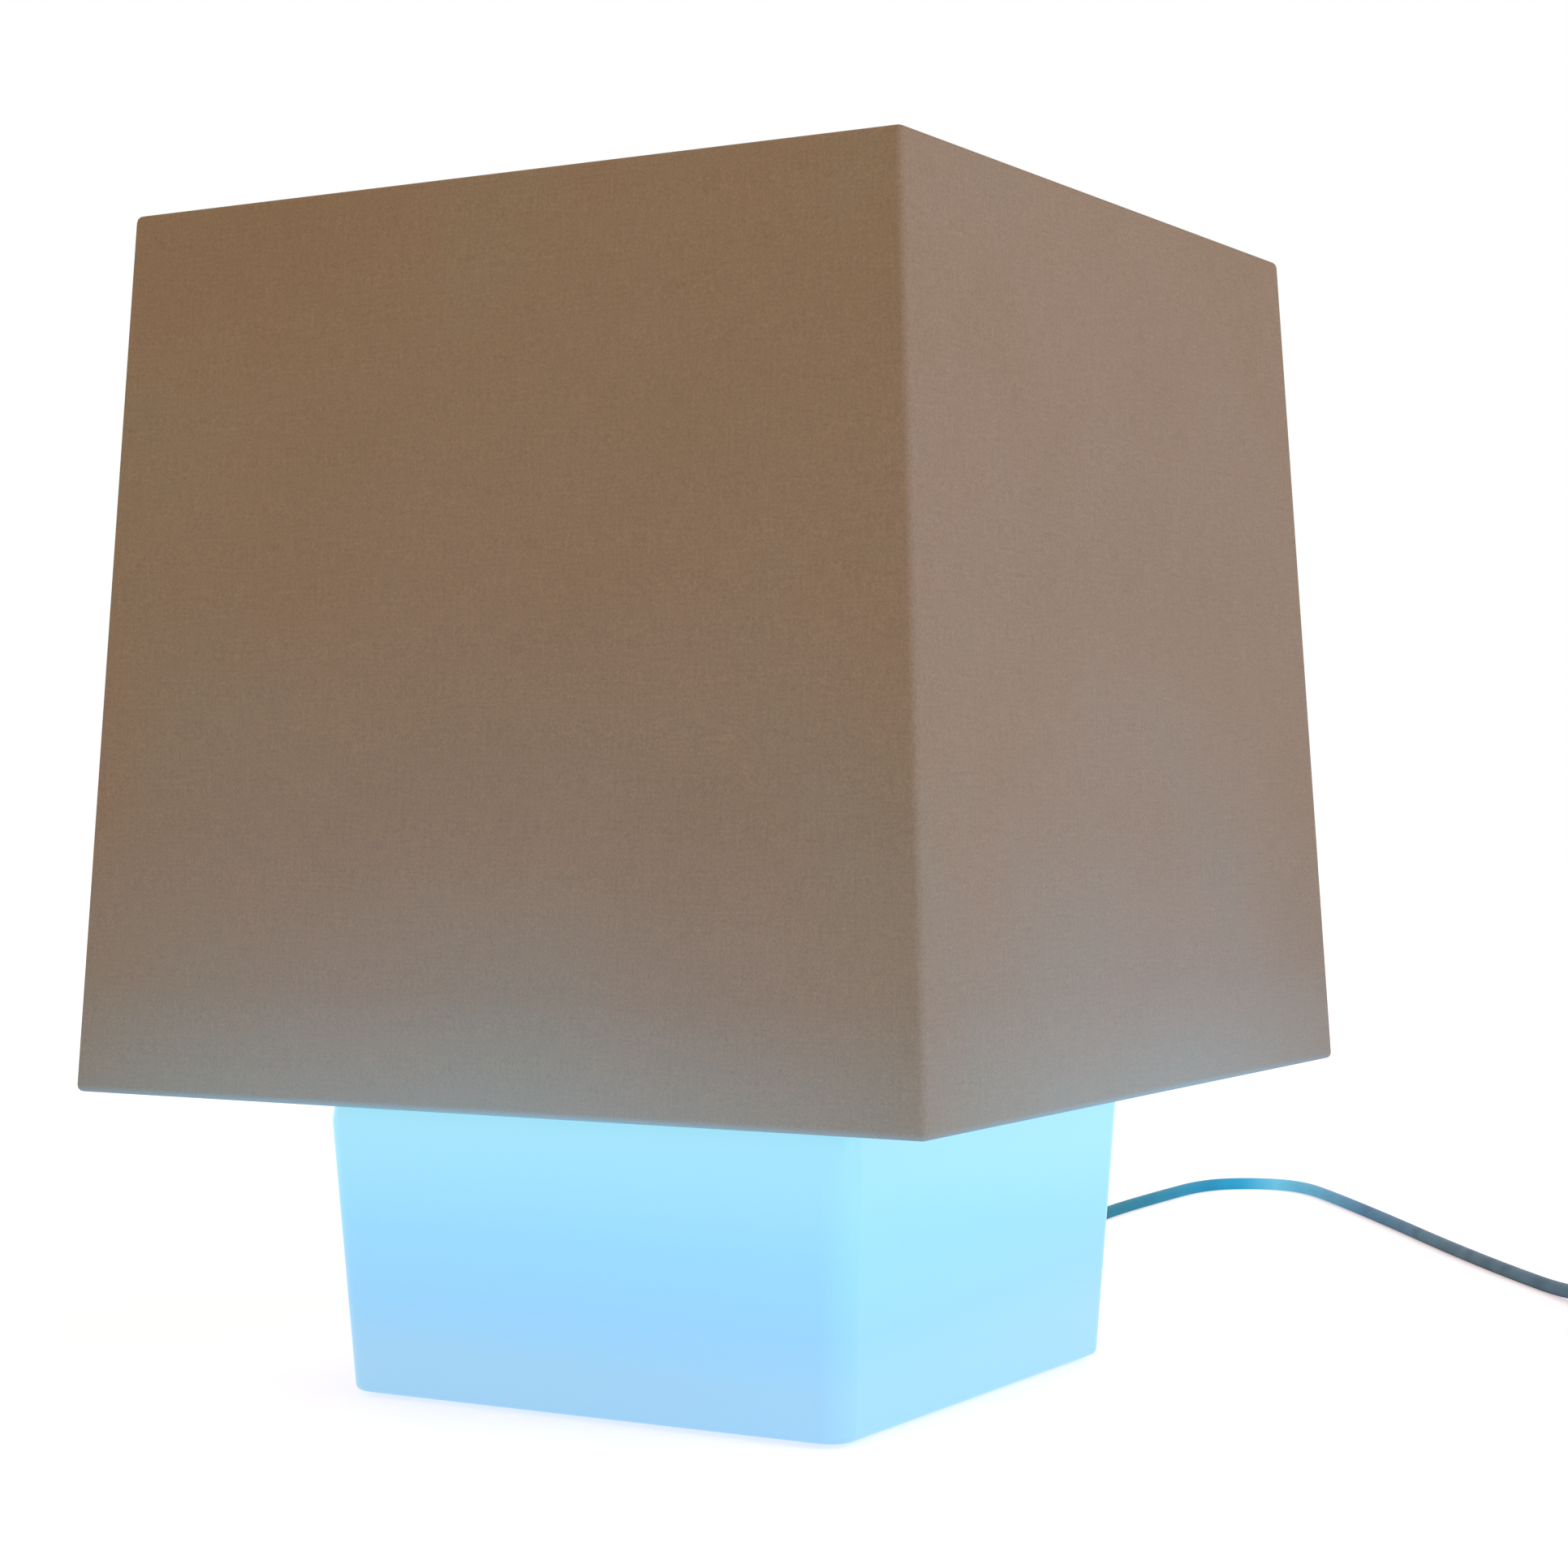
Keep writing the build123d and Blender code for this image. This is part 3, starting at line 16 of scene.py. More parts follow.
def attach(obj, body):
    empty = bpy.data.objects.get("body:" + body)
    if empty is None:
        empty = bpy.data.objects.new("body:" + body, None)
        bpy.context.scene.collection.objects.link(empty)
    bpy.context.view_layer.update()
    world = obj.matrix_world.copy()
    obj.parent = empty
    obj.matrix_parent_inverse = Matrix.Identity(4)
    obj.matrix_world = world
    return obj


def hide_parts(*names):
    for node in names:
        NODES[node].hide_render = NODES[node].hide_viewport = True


bl_info = {
    "name": "Table lamp with a glass cube",
    "version": (1, 0, 0),
    "blender": (4, 5, 0),
    "location": "View3D > Sidebar > Lamp",
    "description": "Dresses the packed frame of a table lamp with its glass, cloth, cord and finishes",
    "category": "Object",
}

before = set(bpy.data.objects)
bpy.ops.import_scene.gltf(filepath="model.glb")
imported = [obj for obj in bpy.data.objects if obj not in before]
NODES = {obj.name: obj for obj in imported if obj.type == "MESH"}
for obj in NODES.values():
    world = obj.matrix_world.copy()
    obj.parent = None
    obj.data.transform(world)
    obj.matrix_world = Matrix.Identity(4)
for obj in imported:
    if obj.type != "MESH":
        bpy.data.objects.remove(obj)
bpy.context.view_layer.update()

MM = 0.001

# The shade's cloth, in millimetres: its hems' heights over the table and half its width at each.
SHADE_LOW = 92.3
SHADE_HIGH = 347.6
SHADE_HALF_LOW = 140.0
SHADE_HALF_HIGH = 127.2
HEM_DEPTH = 4.8

# Heights in millimetres between which the light of the lit bulb changes over the glass.
GLOW_LOW = 10.0
GLOW_HIGH = 95.0


# ---------------------------------------------------------------- colour and material helpers
def linear(colour):
    """sRGB hex, such as #8A6F58, as a linear colour with alpha."""
    channels = [int(colour[i:i + 2], 16) / 255 for i in (1, 3, 5)]
    return [c / 12.92 if c <= 0.04045 else ((c + 0.055) / 1.055) ** 2.4 for c in channels] + [1.0]


def add(tree, kind, inputs=None, stops=None, **settings):
    """Adds a node: sets its options, fills its inputs with values or links, and sets its ramp's stops."""
    node = tree.nodes.new(kind)
    for name, value in settings.items():
        setattr(node, name, value)
    for key, value in (inputs or {}).items():
        if isinstance(value, bpy.types.NodeSocket):
            tree.links.new(value, node.inputs[key])
        else:
            node.inputs[key].default_value = value
    if stops:
        marks = node.color_ramp.elements
        while len(marks) < len(stops):
            marks.new(1.0)
        for mark, (place, colour) in zip(marks, stops):
            mark.position = place
            mark.color = linear(colour)
    return node


def new_material(name, **surface):
    """Material with one Principled shader, its sockets set by name: gives material, tree and shader."""
    made = bpy.data.materials.new(name)
    made.use_nodes = True
    tree = made.node_tree
    tree.nodes.clear()
    inputs = {key.replace("_", " "): value for key, value in surface.items()}
    shader = add(tree, "ShaderNodeBsdfPrincipled", inputs)
    add(tree, "ShaderNodeOutputMaterial", {"Surface": shader.outputs[0]})
    return made, tree, shader


def dress(names, made):
    """Gives CAD nodes a material, whatever slots they came with."""
    for name in names:
        mesh = NODES[name].data
        mesh.materials.clear()
        mesh.materials.append(made)


def object_place(tree):
    """Coordinates in metres that stay with the piece."""
    return add(tree, "ShaderNodeTexCoord").outputs["Object"]


PLASTIC_SPREAD = 0.06          # how far the roughness wanders to each side
METAL_SPREAD = 0.1


def moulded(name, colour, deeper, roughness, grain, bump, **surface):
    """Moulded plastic or rubber: a faint cloud in the colour and the fine spark texture of the mould."""
    made, tree, shader = new_material(name, **surface)
    place = object_place(tree)
    cloud = add(tree, "ShaderNodeTexNoise", {"Vector": place, "Scale": 0.25 / grain, "Detail": 3.0})
    spark = add(tree, "ShaderNodeTexNoise", {"Vector": place, "Scale": 1 / grain, "Detail": 4.0})
    tint = add(tree, "ShaderNodeValToRGB", {"Fac": cloud.outputs["Fac"]}, [
        (0.35, deeper), (0.65, colour)])
    rough = add(tree, "ShaderNodeMapRange", {
        "Value": spark.outputs["Fac"],
        "To Min": roughness - PLASTIC_SPREAD, "To Max": roughness + PLASTIC_SPREAD})
    relief = add(tree, "ShaderNodeBump", {
        "Height": spark.outputs["Fac"], "Strength": bump, "Distance": 0.3 * grain})
    tree.links.new(tint.outputs["Color"], shader.inputs["Base Color"])
    tree.links.new(rough.outputs["Result"], shader.inputs["Roughness"])
    tree.links.new(relief.outputs["Normal"], shader.inputs["Normal"])
    return made


def sheet_metal(name, colour, deeper, roughness, grain, stretch=(1.0, 1.0, 1.0), **surface):
    """Pressed or plated metal: fine marks, stretched along the way it was rolled or brushed."""
    made, tree, shader = new_material(name, Metallic=1.0, **surface)
    turned = add(tree, "ShaderNodeMapping", {"Vector": object_place(tree), "Scale": stretch})
    marks = add(tree, "ShaderNodeTexNoise", {
        "Vector": turned.outputs[0], "Scale": 1 / grain, "Detail": 5.0})
    tint = add(tree, "ShaderNodeValToRGB", {"Fac": marks.outputs["Fac"]}, [
        (0.3, deeper), (0.7, colour)])
    rough = add(tree, "ShaderNodeMapRange", {
        "Value": marks.outputs["Fac"],
        "To Min": roughness - METAL_SPREAD, "To Max": roughness + METAL_SPREAD})
    relief = add(tree, "ShaderNodeBump", {
        "Height": marks.outputs["Fac"], "Strength": 0.15, "Distance": 0.05 * grain})
    tree.links.new(tint.outputs["Color"], shader.inputs["Base Color"])
    tree.links.new(rough.outputs["Result"], shader.inputs["Roughness"])
    tree.links.new(relief.outputs["Normal"], shader.inputs["Normal"])
    return made


SAME_POINT = 1e-7              # metres: corners closer than this are merged


def piece_of(name, bm, made, smooth=True):
    """Object with a bmesh's shape, its faces turned outwards."""
    bmesh.ops.remove_doubles(bm, verts=bm.verts, dist=SAME_POINT)
    bmesh.ops.recalc_face_normals(bm, faces=bm.faces)
    mesh = bpy.data.meshes.new(name)
    bm.to_mesh(mesh)
    bm.free()
    for polygon in mesh.polygons:
        polygon.use_smooth = smooth
    mesh.materials.append(made)
    piece = bpy.data.objects.new(name, mesh)
    bpy.context.scene.collection.objects.link(piece)
    return piece


# ---------------------------------------------------------------- settings
class LampCordSettings(PropertyGroup):
    diameter: FloatProperty(
        name="Cord diameter", description="Outside of the round sheath",
        default=5.0 * MM, min=0.003, unit="LENGTH")
    length: FloatProperty(
        name="Cord length", description="From the glass to the plug",
        default=1.806, min=0.5, unit="LENGTH")
    turn_points: IntProperty(
        name="Points per half turn", description="Control points in each half turn of the coil",
        default=9, min=6)


class LampGlassSettings(PropertyGroup):
    glow: FloatProperty(
        name="Glow", description="Strength of the light that the glass gives off",
        default=1.0, min=0.0)


class LampShadeSettings(PropertyGroup):
    thread: FloatProperty(
        name="Thread spacing", description="From one drawn thread to the next",
        default=0.65 * MM, unit="LENGTH")
    thickness: FloatProperty(
        name="Cloth thickness", description="Thickness of the cloth",
        default=0.6 * MM, unit="LENGTH")
    fold: FloatProperty(
        name="Fold", description="How far each upright fold is rounded off from its edge",
        default=2.1 * MM, unit="LENGTH")
    roll: FloatProperty(
        name="Roll", description="How far the cloth is rounded off where the hems turn in",
        default=2.0 * MM, unit="LENGTH")


class LampStageSettings(PropertyGroup):
    lens: FloatProperty(
        name="Lens", description="Focal length in millimetres on a 36 mm sensor",
        default=73.6, min=20.0)
    side_light: FloatProperty(
        name="Side light", description="Power of the cool lamp on the right",
        default=28.0, unit="POWER")
    dome: FloatProperty(
        name="Sky level", description="Strength of the even light from all round",
        default=0.97, min=0.0)
    dome_tint: FloatVectorProperty(
        name="Sky colour", description="Colour of the even light",
        subtype="COLOR", default=(1.0, 0.97, 0.93))


# ---------------------------------------------------------------- camera
SENSOR_WIDTH = 36.0            # millimetres
CAMERA_PLACE = Vector((0.5097, -0.8392, 0.18015))
CAMERA_TURN = 0.5304           # to the left of +Y, in radians
CAMERA_RISE = 0.0009           # up, for each unit ahead
CAMERA_ROLL = -0.0035          # radians
CAMERA_NEAR = 0.01
CAMERA_FAR = 50.0


class LAMP_OT_camera(Operator):
    """Camera at the photograph's viewing angle"""

    bl_idname = "lamp.camera"
    bl_label = "Camera"

    def execute(self, context):
        ahead = Vector((-math.sin(CAMERA_TURN), math.cos(CAMERA_TURN), CAMERA_RISE)).normalized()
        level = Vector((math.cos(CAMERA_TURN), math.sin(CAMERA_TURN), 0))
        upright = level.cross(ahead)
        right = math.cos(CAMERA_ROLL) * level + math.sin(CAMERA_ROLL) * upright
        up = math.cos(CAMERA_ROLL) * upright - math.sin(CAMERA_ROLL) * level
        data = bpy.data.cameras.new("camera")
        data.sensor_width = SENSOR_WIDTH
        data.lens = context.scene.lamp_stage.lens
        data.clip_start = CAMERA_NEAR
        data.clip_end = CAMERA_FAR
        camera = bpy.data.objects.new("camera", data)
        context.scene.collection.objects.link(camera)
        turn = Matrix((right, up, -ahead)).transposed()
        camera.matrix_world = Matrix.Translation(CAMERA_PLACE) @ turn.to_4x4()
        context.scene.camera = camera
        return {"FINISHED"}


# ---------------------------------------------------------------- mains cord
# Control points of the cord's middle line, in millimetres where they aren't turned to metres here.
CORD_EXIT = Vector((0.0, 110.388, 14.5)) * MM
FIRST_RUN = 22.0               # level run out of the relief
CORD_LEVEL = 2.5               # height of the middle line on the table
CORD_ON_TABLE = (
    (-1, 170), (-6, 215), (-21, 264), (-43.5, 322), (-51, 384), (-52, 440), (-51.5, 485),
    (-34.5, 502), (-11, 501.5), (17.5, 468), (62, 411), (104, 355), (143, 306), (181, 262),
)
SWITCH_HEADING = math.radians(-51.5)
SWITCH_MIDDLE = Vector((240.45, 187.261, 0.0)) * MM
SWITCH_LEVEL = 8.5             # height at which the cord passes through the switch
RISE_RUN = 37.5                # last run, from the table up to the switch
LEVEL_RUN = 34.0               # level run into the switch
COIL_START = 84.0              # along the switch's heading, from its middle
LOW_TURNS = (35.0, 32.25, 29.5, 26.75)
CLIMB_TURN = 24.0
UPPER_LAYER = 8.0
PLUG_LEVEL = 6.85
PAST_SWITCH = ((24, 0, SWITCH_LEVEL), (50, 0, SWITCH_LEVEL), (72, 0, CORD_LEVEL))
TO_PLUG = ((74, UPPER_LAYER), (56, PLUG_LEVEL), (44, PLUG_LEVEL))


def beyond_switch(along, left, height):
    """Point in metres from a place in the switch's own frame in millimetres."""
    turn = Matrix.Rotation(SWITCH_HEADING, 3, "Z")
    return SWITCH_MIDDLE + turn @ Vector((along, left, height)) * MM


def coil_points(per_half_turn):
    """Half turns to the left that shrink on the table, climb, and grow again on top."""
    radii = LOW_TURNS + (CLIMB_TURN,) + tuple(reversed(LOW_TURNS))
    heights = [CORD_LEVEL] * len(LOW_TURNS) + [None] + [UPPER_LAYER] * len(LOW_TURNS)
    climb = UPPER_LAYER - CORD_LEVEL
    points = []
    left = 0.0
    for number, (radius, height) in enumerate(zip(radii, heights)):
        side = 1 if number % 2 == 0 else -1
        reach = radius if height else math.sqrt(radius ** 2 - climb ** 2 / 4)
        for step in range(per_half_turn):
            share = (step + 0.5) / per_half_turn
            angle = math.pi * share
            points.append(beyond_switch(
                COIL_START + side * reach * math.sin(angle),
                left + side * reach * (1 - math.cos(angle)),
                height or CORD_LEVEL + climb * share,
            ))
        left += side * 2 * reach
    return points, left


def cord_route(per_half_turn):
    """Control points: out of the glass, over the table, through the switch, round the coil, to the plug."""
    route = [CORD_EXIT, CORD_EXIT + Vector((0, FIRST_RUN, 0)) * MM]
    route += [Vector((x, y, CORD_LEVEL)) * MM for x, y in CORD_ON_TABLE]
    heading = Matrix.Rotation(SWITCH_HEADING, 3, "Z") @ Vector((1, 0, 0))
    risen = Vector((*route[-1].xy, SWITCH_LEVEL * MM)) + RISE_RUN * MM * heading
    route += [risen, risen + LEVEL_RUN * MM * heading]
    route += [beyond_switch(*place) for place in PAST_SWITCH]
    turns, left = coil_points(per_half_turn)
    route += turns
    route += [beyond_switch(along, left, height) for along, height in TO_PLUG]
    return route


# The light of the glass painted on the cord changes along this way over the table, while the product of way and
# place, in metres, runs between these two values.
CORD_PAINTED_LIGHT_WAY = (2.2, 1.0, 0.0)
CORD_PAINTED_LIGHT_FROM = 0.22
CORD_PAINTED_LIGHT_TO = 0.66
CORES_SCALE = 90.0             # in each metre: the cores show as patches of about 11 mm


def cord_sheath():
    """Clear grey PVC, satin. The light of the glass on it is painted: its base colour is a darker teal near the
    glass, and a painted blue-green glow runs along its first stretch to a painted highlight at the first bend,
    so the cord fades from teal to grey on its way to the right."""
    made, tree, shader = new_material(
        "clear_grey_pvc", Roughness=0.45, IOR=1.53, Specular_IOR_Level=0.1, Emission_Strength=1.0)
    place = object_place(tree)
    ahead = add(tree, "ShaderNodeVectorMath", {0: place, 1: CORD_PAINTED_LIGHT_WAY}, operation="DOT_PRODUCT")
    along = add(tree, "ShaderNodeMapRange", {
        "Value": ahead.outputs["Value"], "From Min": CORD_PAINTED_LIGHT_FROM, "From Max": CORD_PAINTED_LIGHT_TO})
    cores = add(tree, "ShaderNodeTexNoise", {"Vector": place, "Scale": CORES_SCALE, "Detail": 3.0})
    # Base colour: the sheath's own grey far from the glass, painted darker teal near it for the glass's light
    # and shade.
    tint = add(tree, "ShaderNodeValToRGB", {"Fac": along.outputs["Result"]}, [
        (0.2, "#0F4A58"), (0.46, "#1F5F78"), (0.62, "#3A6478"), (0.73, "#4F7386"), (0.85, "#597380")])
    cloudy = add(tree, "ShaderNodeValToRGB", {"Fac": cores.outputs["Fac"]}, [
        (0.35, "#D8DCDE"), (0.65, "#FFFFFF")])
    colour = add(tree, "ShaderNodeMix", {
        "Factor": 1.0, 6: tint.outputs["Color"], 7: cloudy.outputs["Color"],
    }, data_type="RGBA", blend_type="MULTIPLY")
    # Painted glow of the glass's light on the sheath, with a painted highlight at the first bend.
    painted_glow = add(tree, "ShaderNodeValToRGB", {"Fac": along.outputs["Result"]}, [
        (0.13, "#066270"), (0.36, "#1A7894"), (0.44, "#2A92B6"), (0.52, "#68B4CC"), (0.61, "#4C87A0"),
        (0.7, "#0A3650"), (0.8, "#000000")])
    tree.links.new(colour.outputs[2], shader.inputs["Base Color"])
    tree.links.new(painted_glow.outputs["Color"], shader.inputs["Emission Color"])
    return made


class LAMP_OT_cord(Operator):
    """Mains cord: one smooth line from the glass through the switch and the coil to the plug"""

    bl_idname = "lamp.cord"
    bl_label = "Mains cord"

    def execute(self, context):
        settings = context.scene.lamp_cord
        data = bpy.data.curves.new("mains_cord", "CURVE")
        data.dimensions = "3D"
        data.bevel_depth = settings.diameter / 2
        data.bevel_resolution = 5
        data.resolution_u = 6
        data.use_fill_caps = True
        spline = data.splines.new("NURBS")
        route = cord_route(settings.turn_points)
        spline.points.add(len(route) - 1)
        for point, place in zip(spline.points, route):
            point.co = (*place, 1.0)
        spline.order_u = 3
        spline.use_endpoint_u = True
        data.materials.append(cord_sheath())
        cord = bpy.data.objects.new("mains_cord", data)
        context.scene.collection.objects.link(cord)
        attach(cord, "root")
        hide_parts("cord_lead", "cord_coil")
        return {"FINISHED"}


# ---------------------------------------------------------------- glass
FLOW_SCALE = (14.0, 14.0, 5.0)     # waves in each metre: about 70 mm wide and 200 mm tall


def opal_glass(glow):
    """Opal glass, blown in a mould. Its white flashing spreads the light of the bulb, so the whole cube
    glows, a little greener at the top than at the foot. Its faces are not quite flat, as blown glass is."""
    made, tree, shader = new_material(
        "opal_glass_lit", Base_Color=linear("#4F7F96"), Roughness=0.32, IOR=1.5, Emission_Strength=glow)
    place = object_place(tree)
    apart = add(tree, "ShaderNodeSeparateXYZ", {"Vector": place})
    level = add(tree, "ShaderNodeMapRange", {
        "Value": apart.outputs["Z"], "From Min": GLOW_LOW * MM, "From Max": GLOW_HIGH * MM})
    light = add(tree, "ShaderNodeValToRGB", {"Fac": level.outputs["Result"]}, [
        (0.05, "#90B3CD"), (0.24, "#85B4D7"), (0.5, "#86BDD9"), (0.72, "#91C8DA"), (0.95, "#95CEDC")])
    streaks = add(tree, "ShaderNodeMapping", {"Vector": place, "Scale": FLOW_SCALE})
    flow = add(tree, "ShaderNodeTexNoise", {"Vector": streaks.outputs[0], "Scale": 1.0, "Detail": 2.0})
    waves = add(tree, "ShaderNodeBump", {
        "Height": flow.outputs["Fac"], "Strength": 0.25, "Distance": 0.6 * MM})
    tree.links.new(light.outputs["Color"], shader.inputs["Emission Color"])
    tree.links.new(waves.outputs["Normal"], shader.inputs["Normal"])
    return made


class LAMP_OT_glass(Operator):
    """Opal glass cube, lit from inside"""

    bl_idname = "lamp.glass"
    bl_label = "Glass cube"

    def execute(self, context):
        dress(["glass_body"], opal_glass(context.scene.lamp_glass.glow))
        return {"FINISHED"}


# ---------------------------------------------------------------- shade
CLOUD_SCALE = 13.0             # in each metre: the dye clouds over about 75 mm
SPILL_NEAR = 0.13              # metres from the axis: the light from below is full up to here,
SPILL_FAR = 0.2                # and weaker towards the corners


def thread_heights(tree, uv, thread):
    """Height of a plain weave, and how evenly it is spun: warp over weft in turn, with thicker slubs."""
    split = add(tree, "ShaderNodeSeparateXYZ", {"Vector": uv})
    ridges = []
    for axis in ("X", "Y"):
        phase = add(tree, "ShaderNodeMath", {
            0: split.outputs[axis], 1: math.pi / thread}, operation="MULTIPLY")
        ridges.append(add(tree, "ShaderNodeMath", {0: phase.outputs[0]}, operation="SINE").outputs[0])
    parity = add(tree, "ShaderNodeMath", {0: ridges[0], 1: ridges[1]}, operation="MULTIPLY")
    over = add(tree, "ShaderNodeMath", {0: parity.outputs[0], 1: 0.0}, operation="GREATER_THAN")
    heights = [add(tree, "ShaderNodeMath", {0: ridge}, operation="ABSOLUTE").outputs[0] for ridge in ridges]
    weave = add(tree, "ShaderNodeMix", {"Factor": over.outputs[0], 2: heights[0], 3: heights[1]})
    slubs = []
    for stretch in ((0.7 / thread, 0.07 / thread, 1.0), (0.07 / thread, 0.7 / thread, 1.0)):
        drawn = add(tree, "ShaderNodeMapping", {"Vector": uv, "Scale": stretch})
        slubs.append(add(tree, "ShaderNodeTexNoise", {
            "Vector": drawn.outputs[0], "Scale": 1.0, "Detail": 2.0}))
    uneven = add(tree, "ShaderNodeMath", {
        0: slubs[0].outputs["Fac"], 1: slubs[1].outputs["Fac"]}, operation="ADD")
    thick = add(tree, "ShaderNodeMath", {
        0: weave.outputs[0], 1: 0.55, 2: uneven.outputs[0]}, operation="MULTIPLY_ADD")
    return thick.outputs[0]


def dyed_threads_with_painted_shade(tree, place, thick, thread):
    """Taupe dye with a faint cloud, painted shade in the dips between the threads, and speckled by loose
    fibres.
    """
    # Painted shade: the colour is darker where the weave dips between threads.
    painted_thread_shade = add(tree, "ShaderNodeMapRange", {
        "Value": thick, "From Min": 0.7, "From Max": 1.8, "To Min": 0.88, "To Max": 1.06})
    cloud = add(tree, "ShaderNodeTexNoise", {
        "Vector": place, "Scale": CLOUD_SCALE, "Detail": 3.0, "Roughness": 0.55})
    dyed = add(tree, "ShaderNodeValToRGB", {"Fac": cloud.outputs["Fac"]}, [
        (0.3, "#836749"), (0.5, "#85694C"), (0.7, "#826B4F")])
    fibres = add(tree, "ShaderNodeTexNoise", {
        "Vector": place, "Scale": 1 / thread, "Detail": 3.0, "Roughness": 0.7})
    speck = add(tree, "ShaderNodeMapRange", {
        "Value": fibres.outputs["Fac"], "From Min": 0.25, "From Max": 0.75, "To Min": 0.8, "To Max": 1.2})
    shade_and_speck = add(tree, "ShaderNodeMath", {0: painted_thread_shade.outputs[0], 1: speck.outputs[0]}, operation="MULTIPLY")
    tint = add(tree, "ShaderNodeVectorMath", {
        0: dyed.outputs["Color"], "Scale": shade_and_speck.outputs[0]}, operation="SCALE")
    return tint.outputs["Vector"]


def painted_light_from_below(tree, place):
    """Painted glow: the blue light that the glass casts up on the cloth, painted as an emission: strongest on
    the lower hem's roll, weaker towards the corners, gone at the top.
    """
    apart = add(tree, "ShaderNodeSeparateXYZ", {"Vector": place})
    level = add(tree, "ShaderNodeMapRange", {
        "Value": apart.outputs["Z"], "From Min": SHADE_LOW * MM, "From Max": SHADE_HIGH * MM})
    through = add(tree, "ShaderNodeValToRGB", {"Fac": level.outputs["Result"]}, [
        (0.0, "#479FC6"), (0.008, "#386C80"), (0.13, "#2A4A5B"), (0.3, "#17323F"), (0.55, "#061A26"),
        (1.0, "#000000")])
    flat = add(tree, "ShaderNodeVectorMath", {0: place, 1: (1.0, 1.0, 0.0)}, operation="MULTIPLY")
    radial = add(tree, "ShaderNodeVectorMath", {0: flat.outputs[0]}, operation="LENGTH")
    nearer = add(tree, "ShaderNodeMapRange", {
        "Value": radial.outputs["Value"], "From Min": SPILL_NEAR, "From Max": SPILL_FAR,
        "To Min": 1.0, "To Max": 0.5})
    spill = add(tree, "ShaderNodeVectorMath", {
        0: through.outputs["Color"], "Scale": nearer.outputs[0]}, operation="SCALE")
    return spill.outputs["Vector"]


def woven_cloth(thread):
    """Fine plain weave in taupe, laminated to a stiff liner: matt, with the glass's light from below painted on
    it as a glow.
    The real threads are 0.4 mm apart, too fine to show, so they are drawn wider."""
    made, tree, shader = new_material(
        "taupe_plain_weave", Roughness=0.9, Specular_IOR_Level=0.15, Emission_Strength=1.0)
    place = object_place(tree)
    uv = add(tree, "ShaderNodeUVMap", uv_map="threads").outputs["UV"]
    thick = thread_heights(tree, uv, thread)
    relief = add(tree, "ShaderNodeBump", {"Height": thick, "Strength": 0.35, "Distance": 0.15 * thread})
    tree.links.new(dyed_threads_with_painted_shade(tree, place, thick, thread), shader.inputs["Base Color"])
    tree.links.new(relief.outputs["Normal"], shader.inputs["Normal"])
    tree.links.new(painted_light_from_below(tree, place), shader.inputs["Emission Color"])
    return made


FOLD_SEGMENTS = 5
ROLL_SEGMENTS = 3
SAME_HEIGHT = 1e-6             # metres: heights closer than this are one height


def round_off(bm, edges, width, segments):
    """Bevels edges round, from so far to each side of them."""
    bmesh.ops.bevel(bm, geom=edges, offset=width, offset_type="OFFSET", segments=segments, profile=0.5,
                    affect="EDGES", material=-1)


def tapered_sleeve(low, high, half_low, half_high, corner, segments):
    """Open square sleeve with sloping sides and rounded upright folds."""
    bm = bmesh.new()
    bmesh.ops.create_cube(bm, size=2.0)
    for side, height, half in ((-1, low, half_low), (1, high, half_high)):
        ring = [v for v in bm.verts if v.co.z * side > 0.5]
        bmesh.ops.scale(bm, verts=ring, vec=(half, half, 0.0))
        bmesh.ops.translate(bm, verts=ring, vec=(0, 0, height))
    caps = [face for face in bm.faces if abs(face.normal.z) > 0.9]
    bmesh.ops.delete(bm, geom=caps, context="FACES_ONLY")
    halfway = 0.5 * (high - low)
    folds = [edge for edge in bm.edges if abs(edge.verts[0].co.z - edge.verts[1].co.z) > halfway]
    round_off(bm, folds, corner, segments)
    return bm


def turn_in(bm, height, depth, roll):
    """Hem: the cloth's edge at a height is folded inwards over the wire, with a small roll."""
    edge = [e for e in bm.edges if e.is_boundary and all(abs(v.co.z - height) < SAME_HEIGHT for v in e.verts)]
    made = bmesh.ops.extrude_edge_only(bm, edges=edge)["geom"]
    inner = [v for v in made if isinstance(v, bmesh.types.BMVert)]
    half = max(v.co.x for v in inner)
    share = (half - depth) / half
    bmesh.ops.scale(bm, verts=inner, vec=(share, share, 1.0))
    round_off(bm, edge, roll, ROLL_SEGMENTS)


def lay_threads(bm):
    """UV in metres, square to the threads: each side of the shade is its own flat panel of cloth."""
    layer = bm.loops.layers.uv.new("threads")
    for face in bm.faces:
        n = face.normal
        for loop in face.loops:
            x, y, z = loop.vert.co
            if abs(n.z) > 0.7:
                loop[layer].uv = (x, y)
            else:
                loop[layer].uv = (x if abs(n.y) > abs(n.x) else y, z)


class LAMP_OT_shade(Operator):
    """Cloth of the shade, with hems turned in over the wires"""

    bl_idname = "lamp.shade"
    bl_label = "Shade cloth"

    def execute(self, context):
        settings = context.scene.lamp_shade
        bm = tapered_sleeve(SHADE_LOW * MM, SHADE_HIGH * MM, SHADE_HALF_LOW * MM, SHADE_HALF_HIGH * MM,
                            settings.fold, FOLD_SEGMENTS)
        for height in (SHADE_LOW, SHADE_HIGH):
            turn_in(bm, height * MM, HEM_DEPTH * MM, settings.roll)
        bmesh.ops.recalc_face_normals(bm, faces=bm.faces)
        bm.normal_update()
        lay_threads(bm)
        cloth = piece_of("shade_fabric", bm, woven_cloth(settings.thread))
        body = cloth.modifiers.new("cloth_thickness", "SOLIDIFY")
        body.thickness = settings.thickness
        body.offset = -1.0
        body.use_even_offset = True
        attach(cloth, "shade")
        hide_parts("shade_cloth")
        return {"FINISHED"}


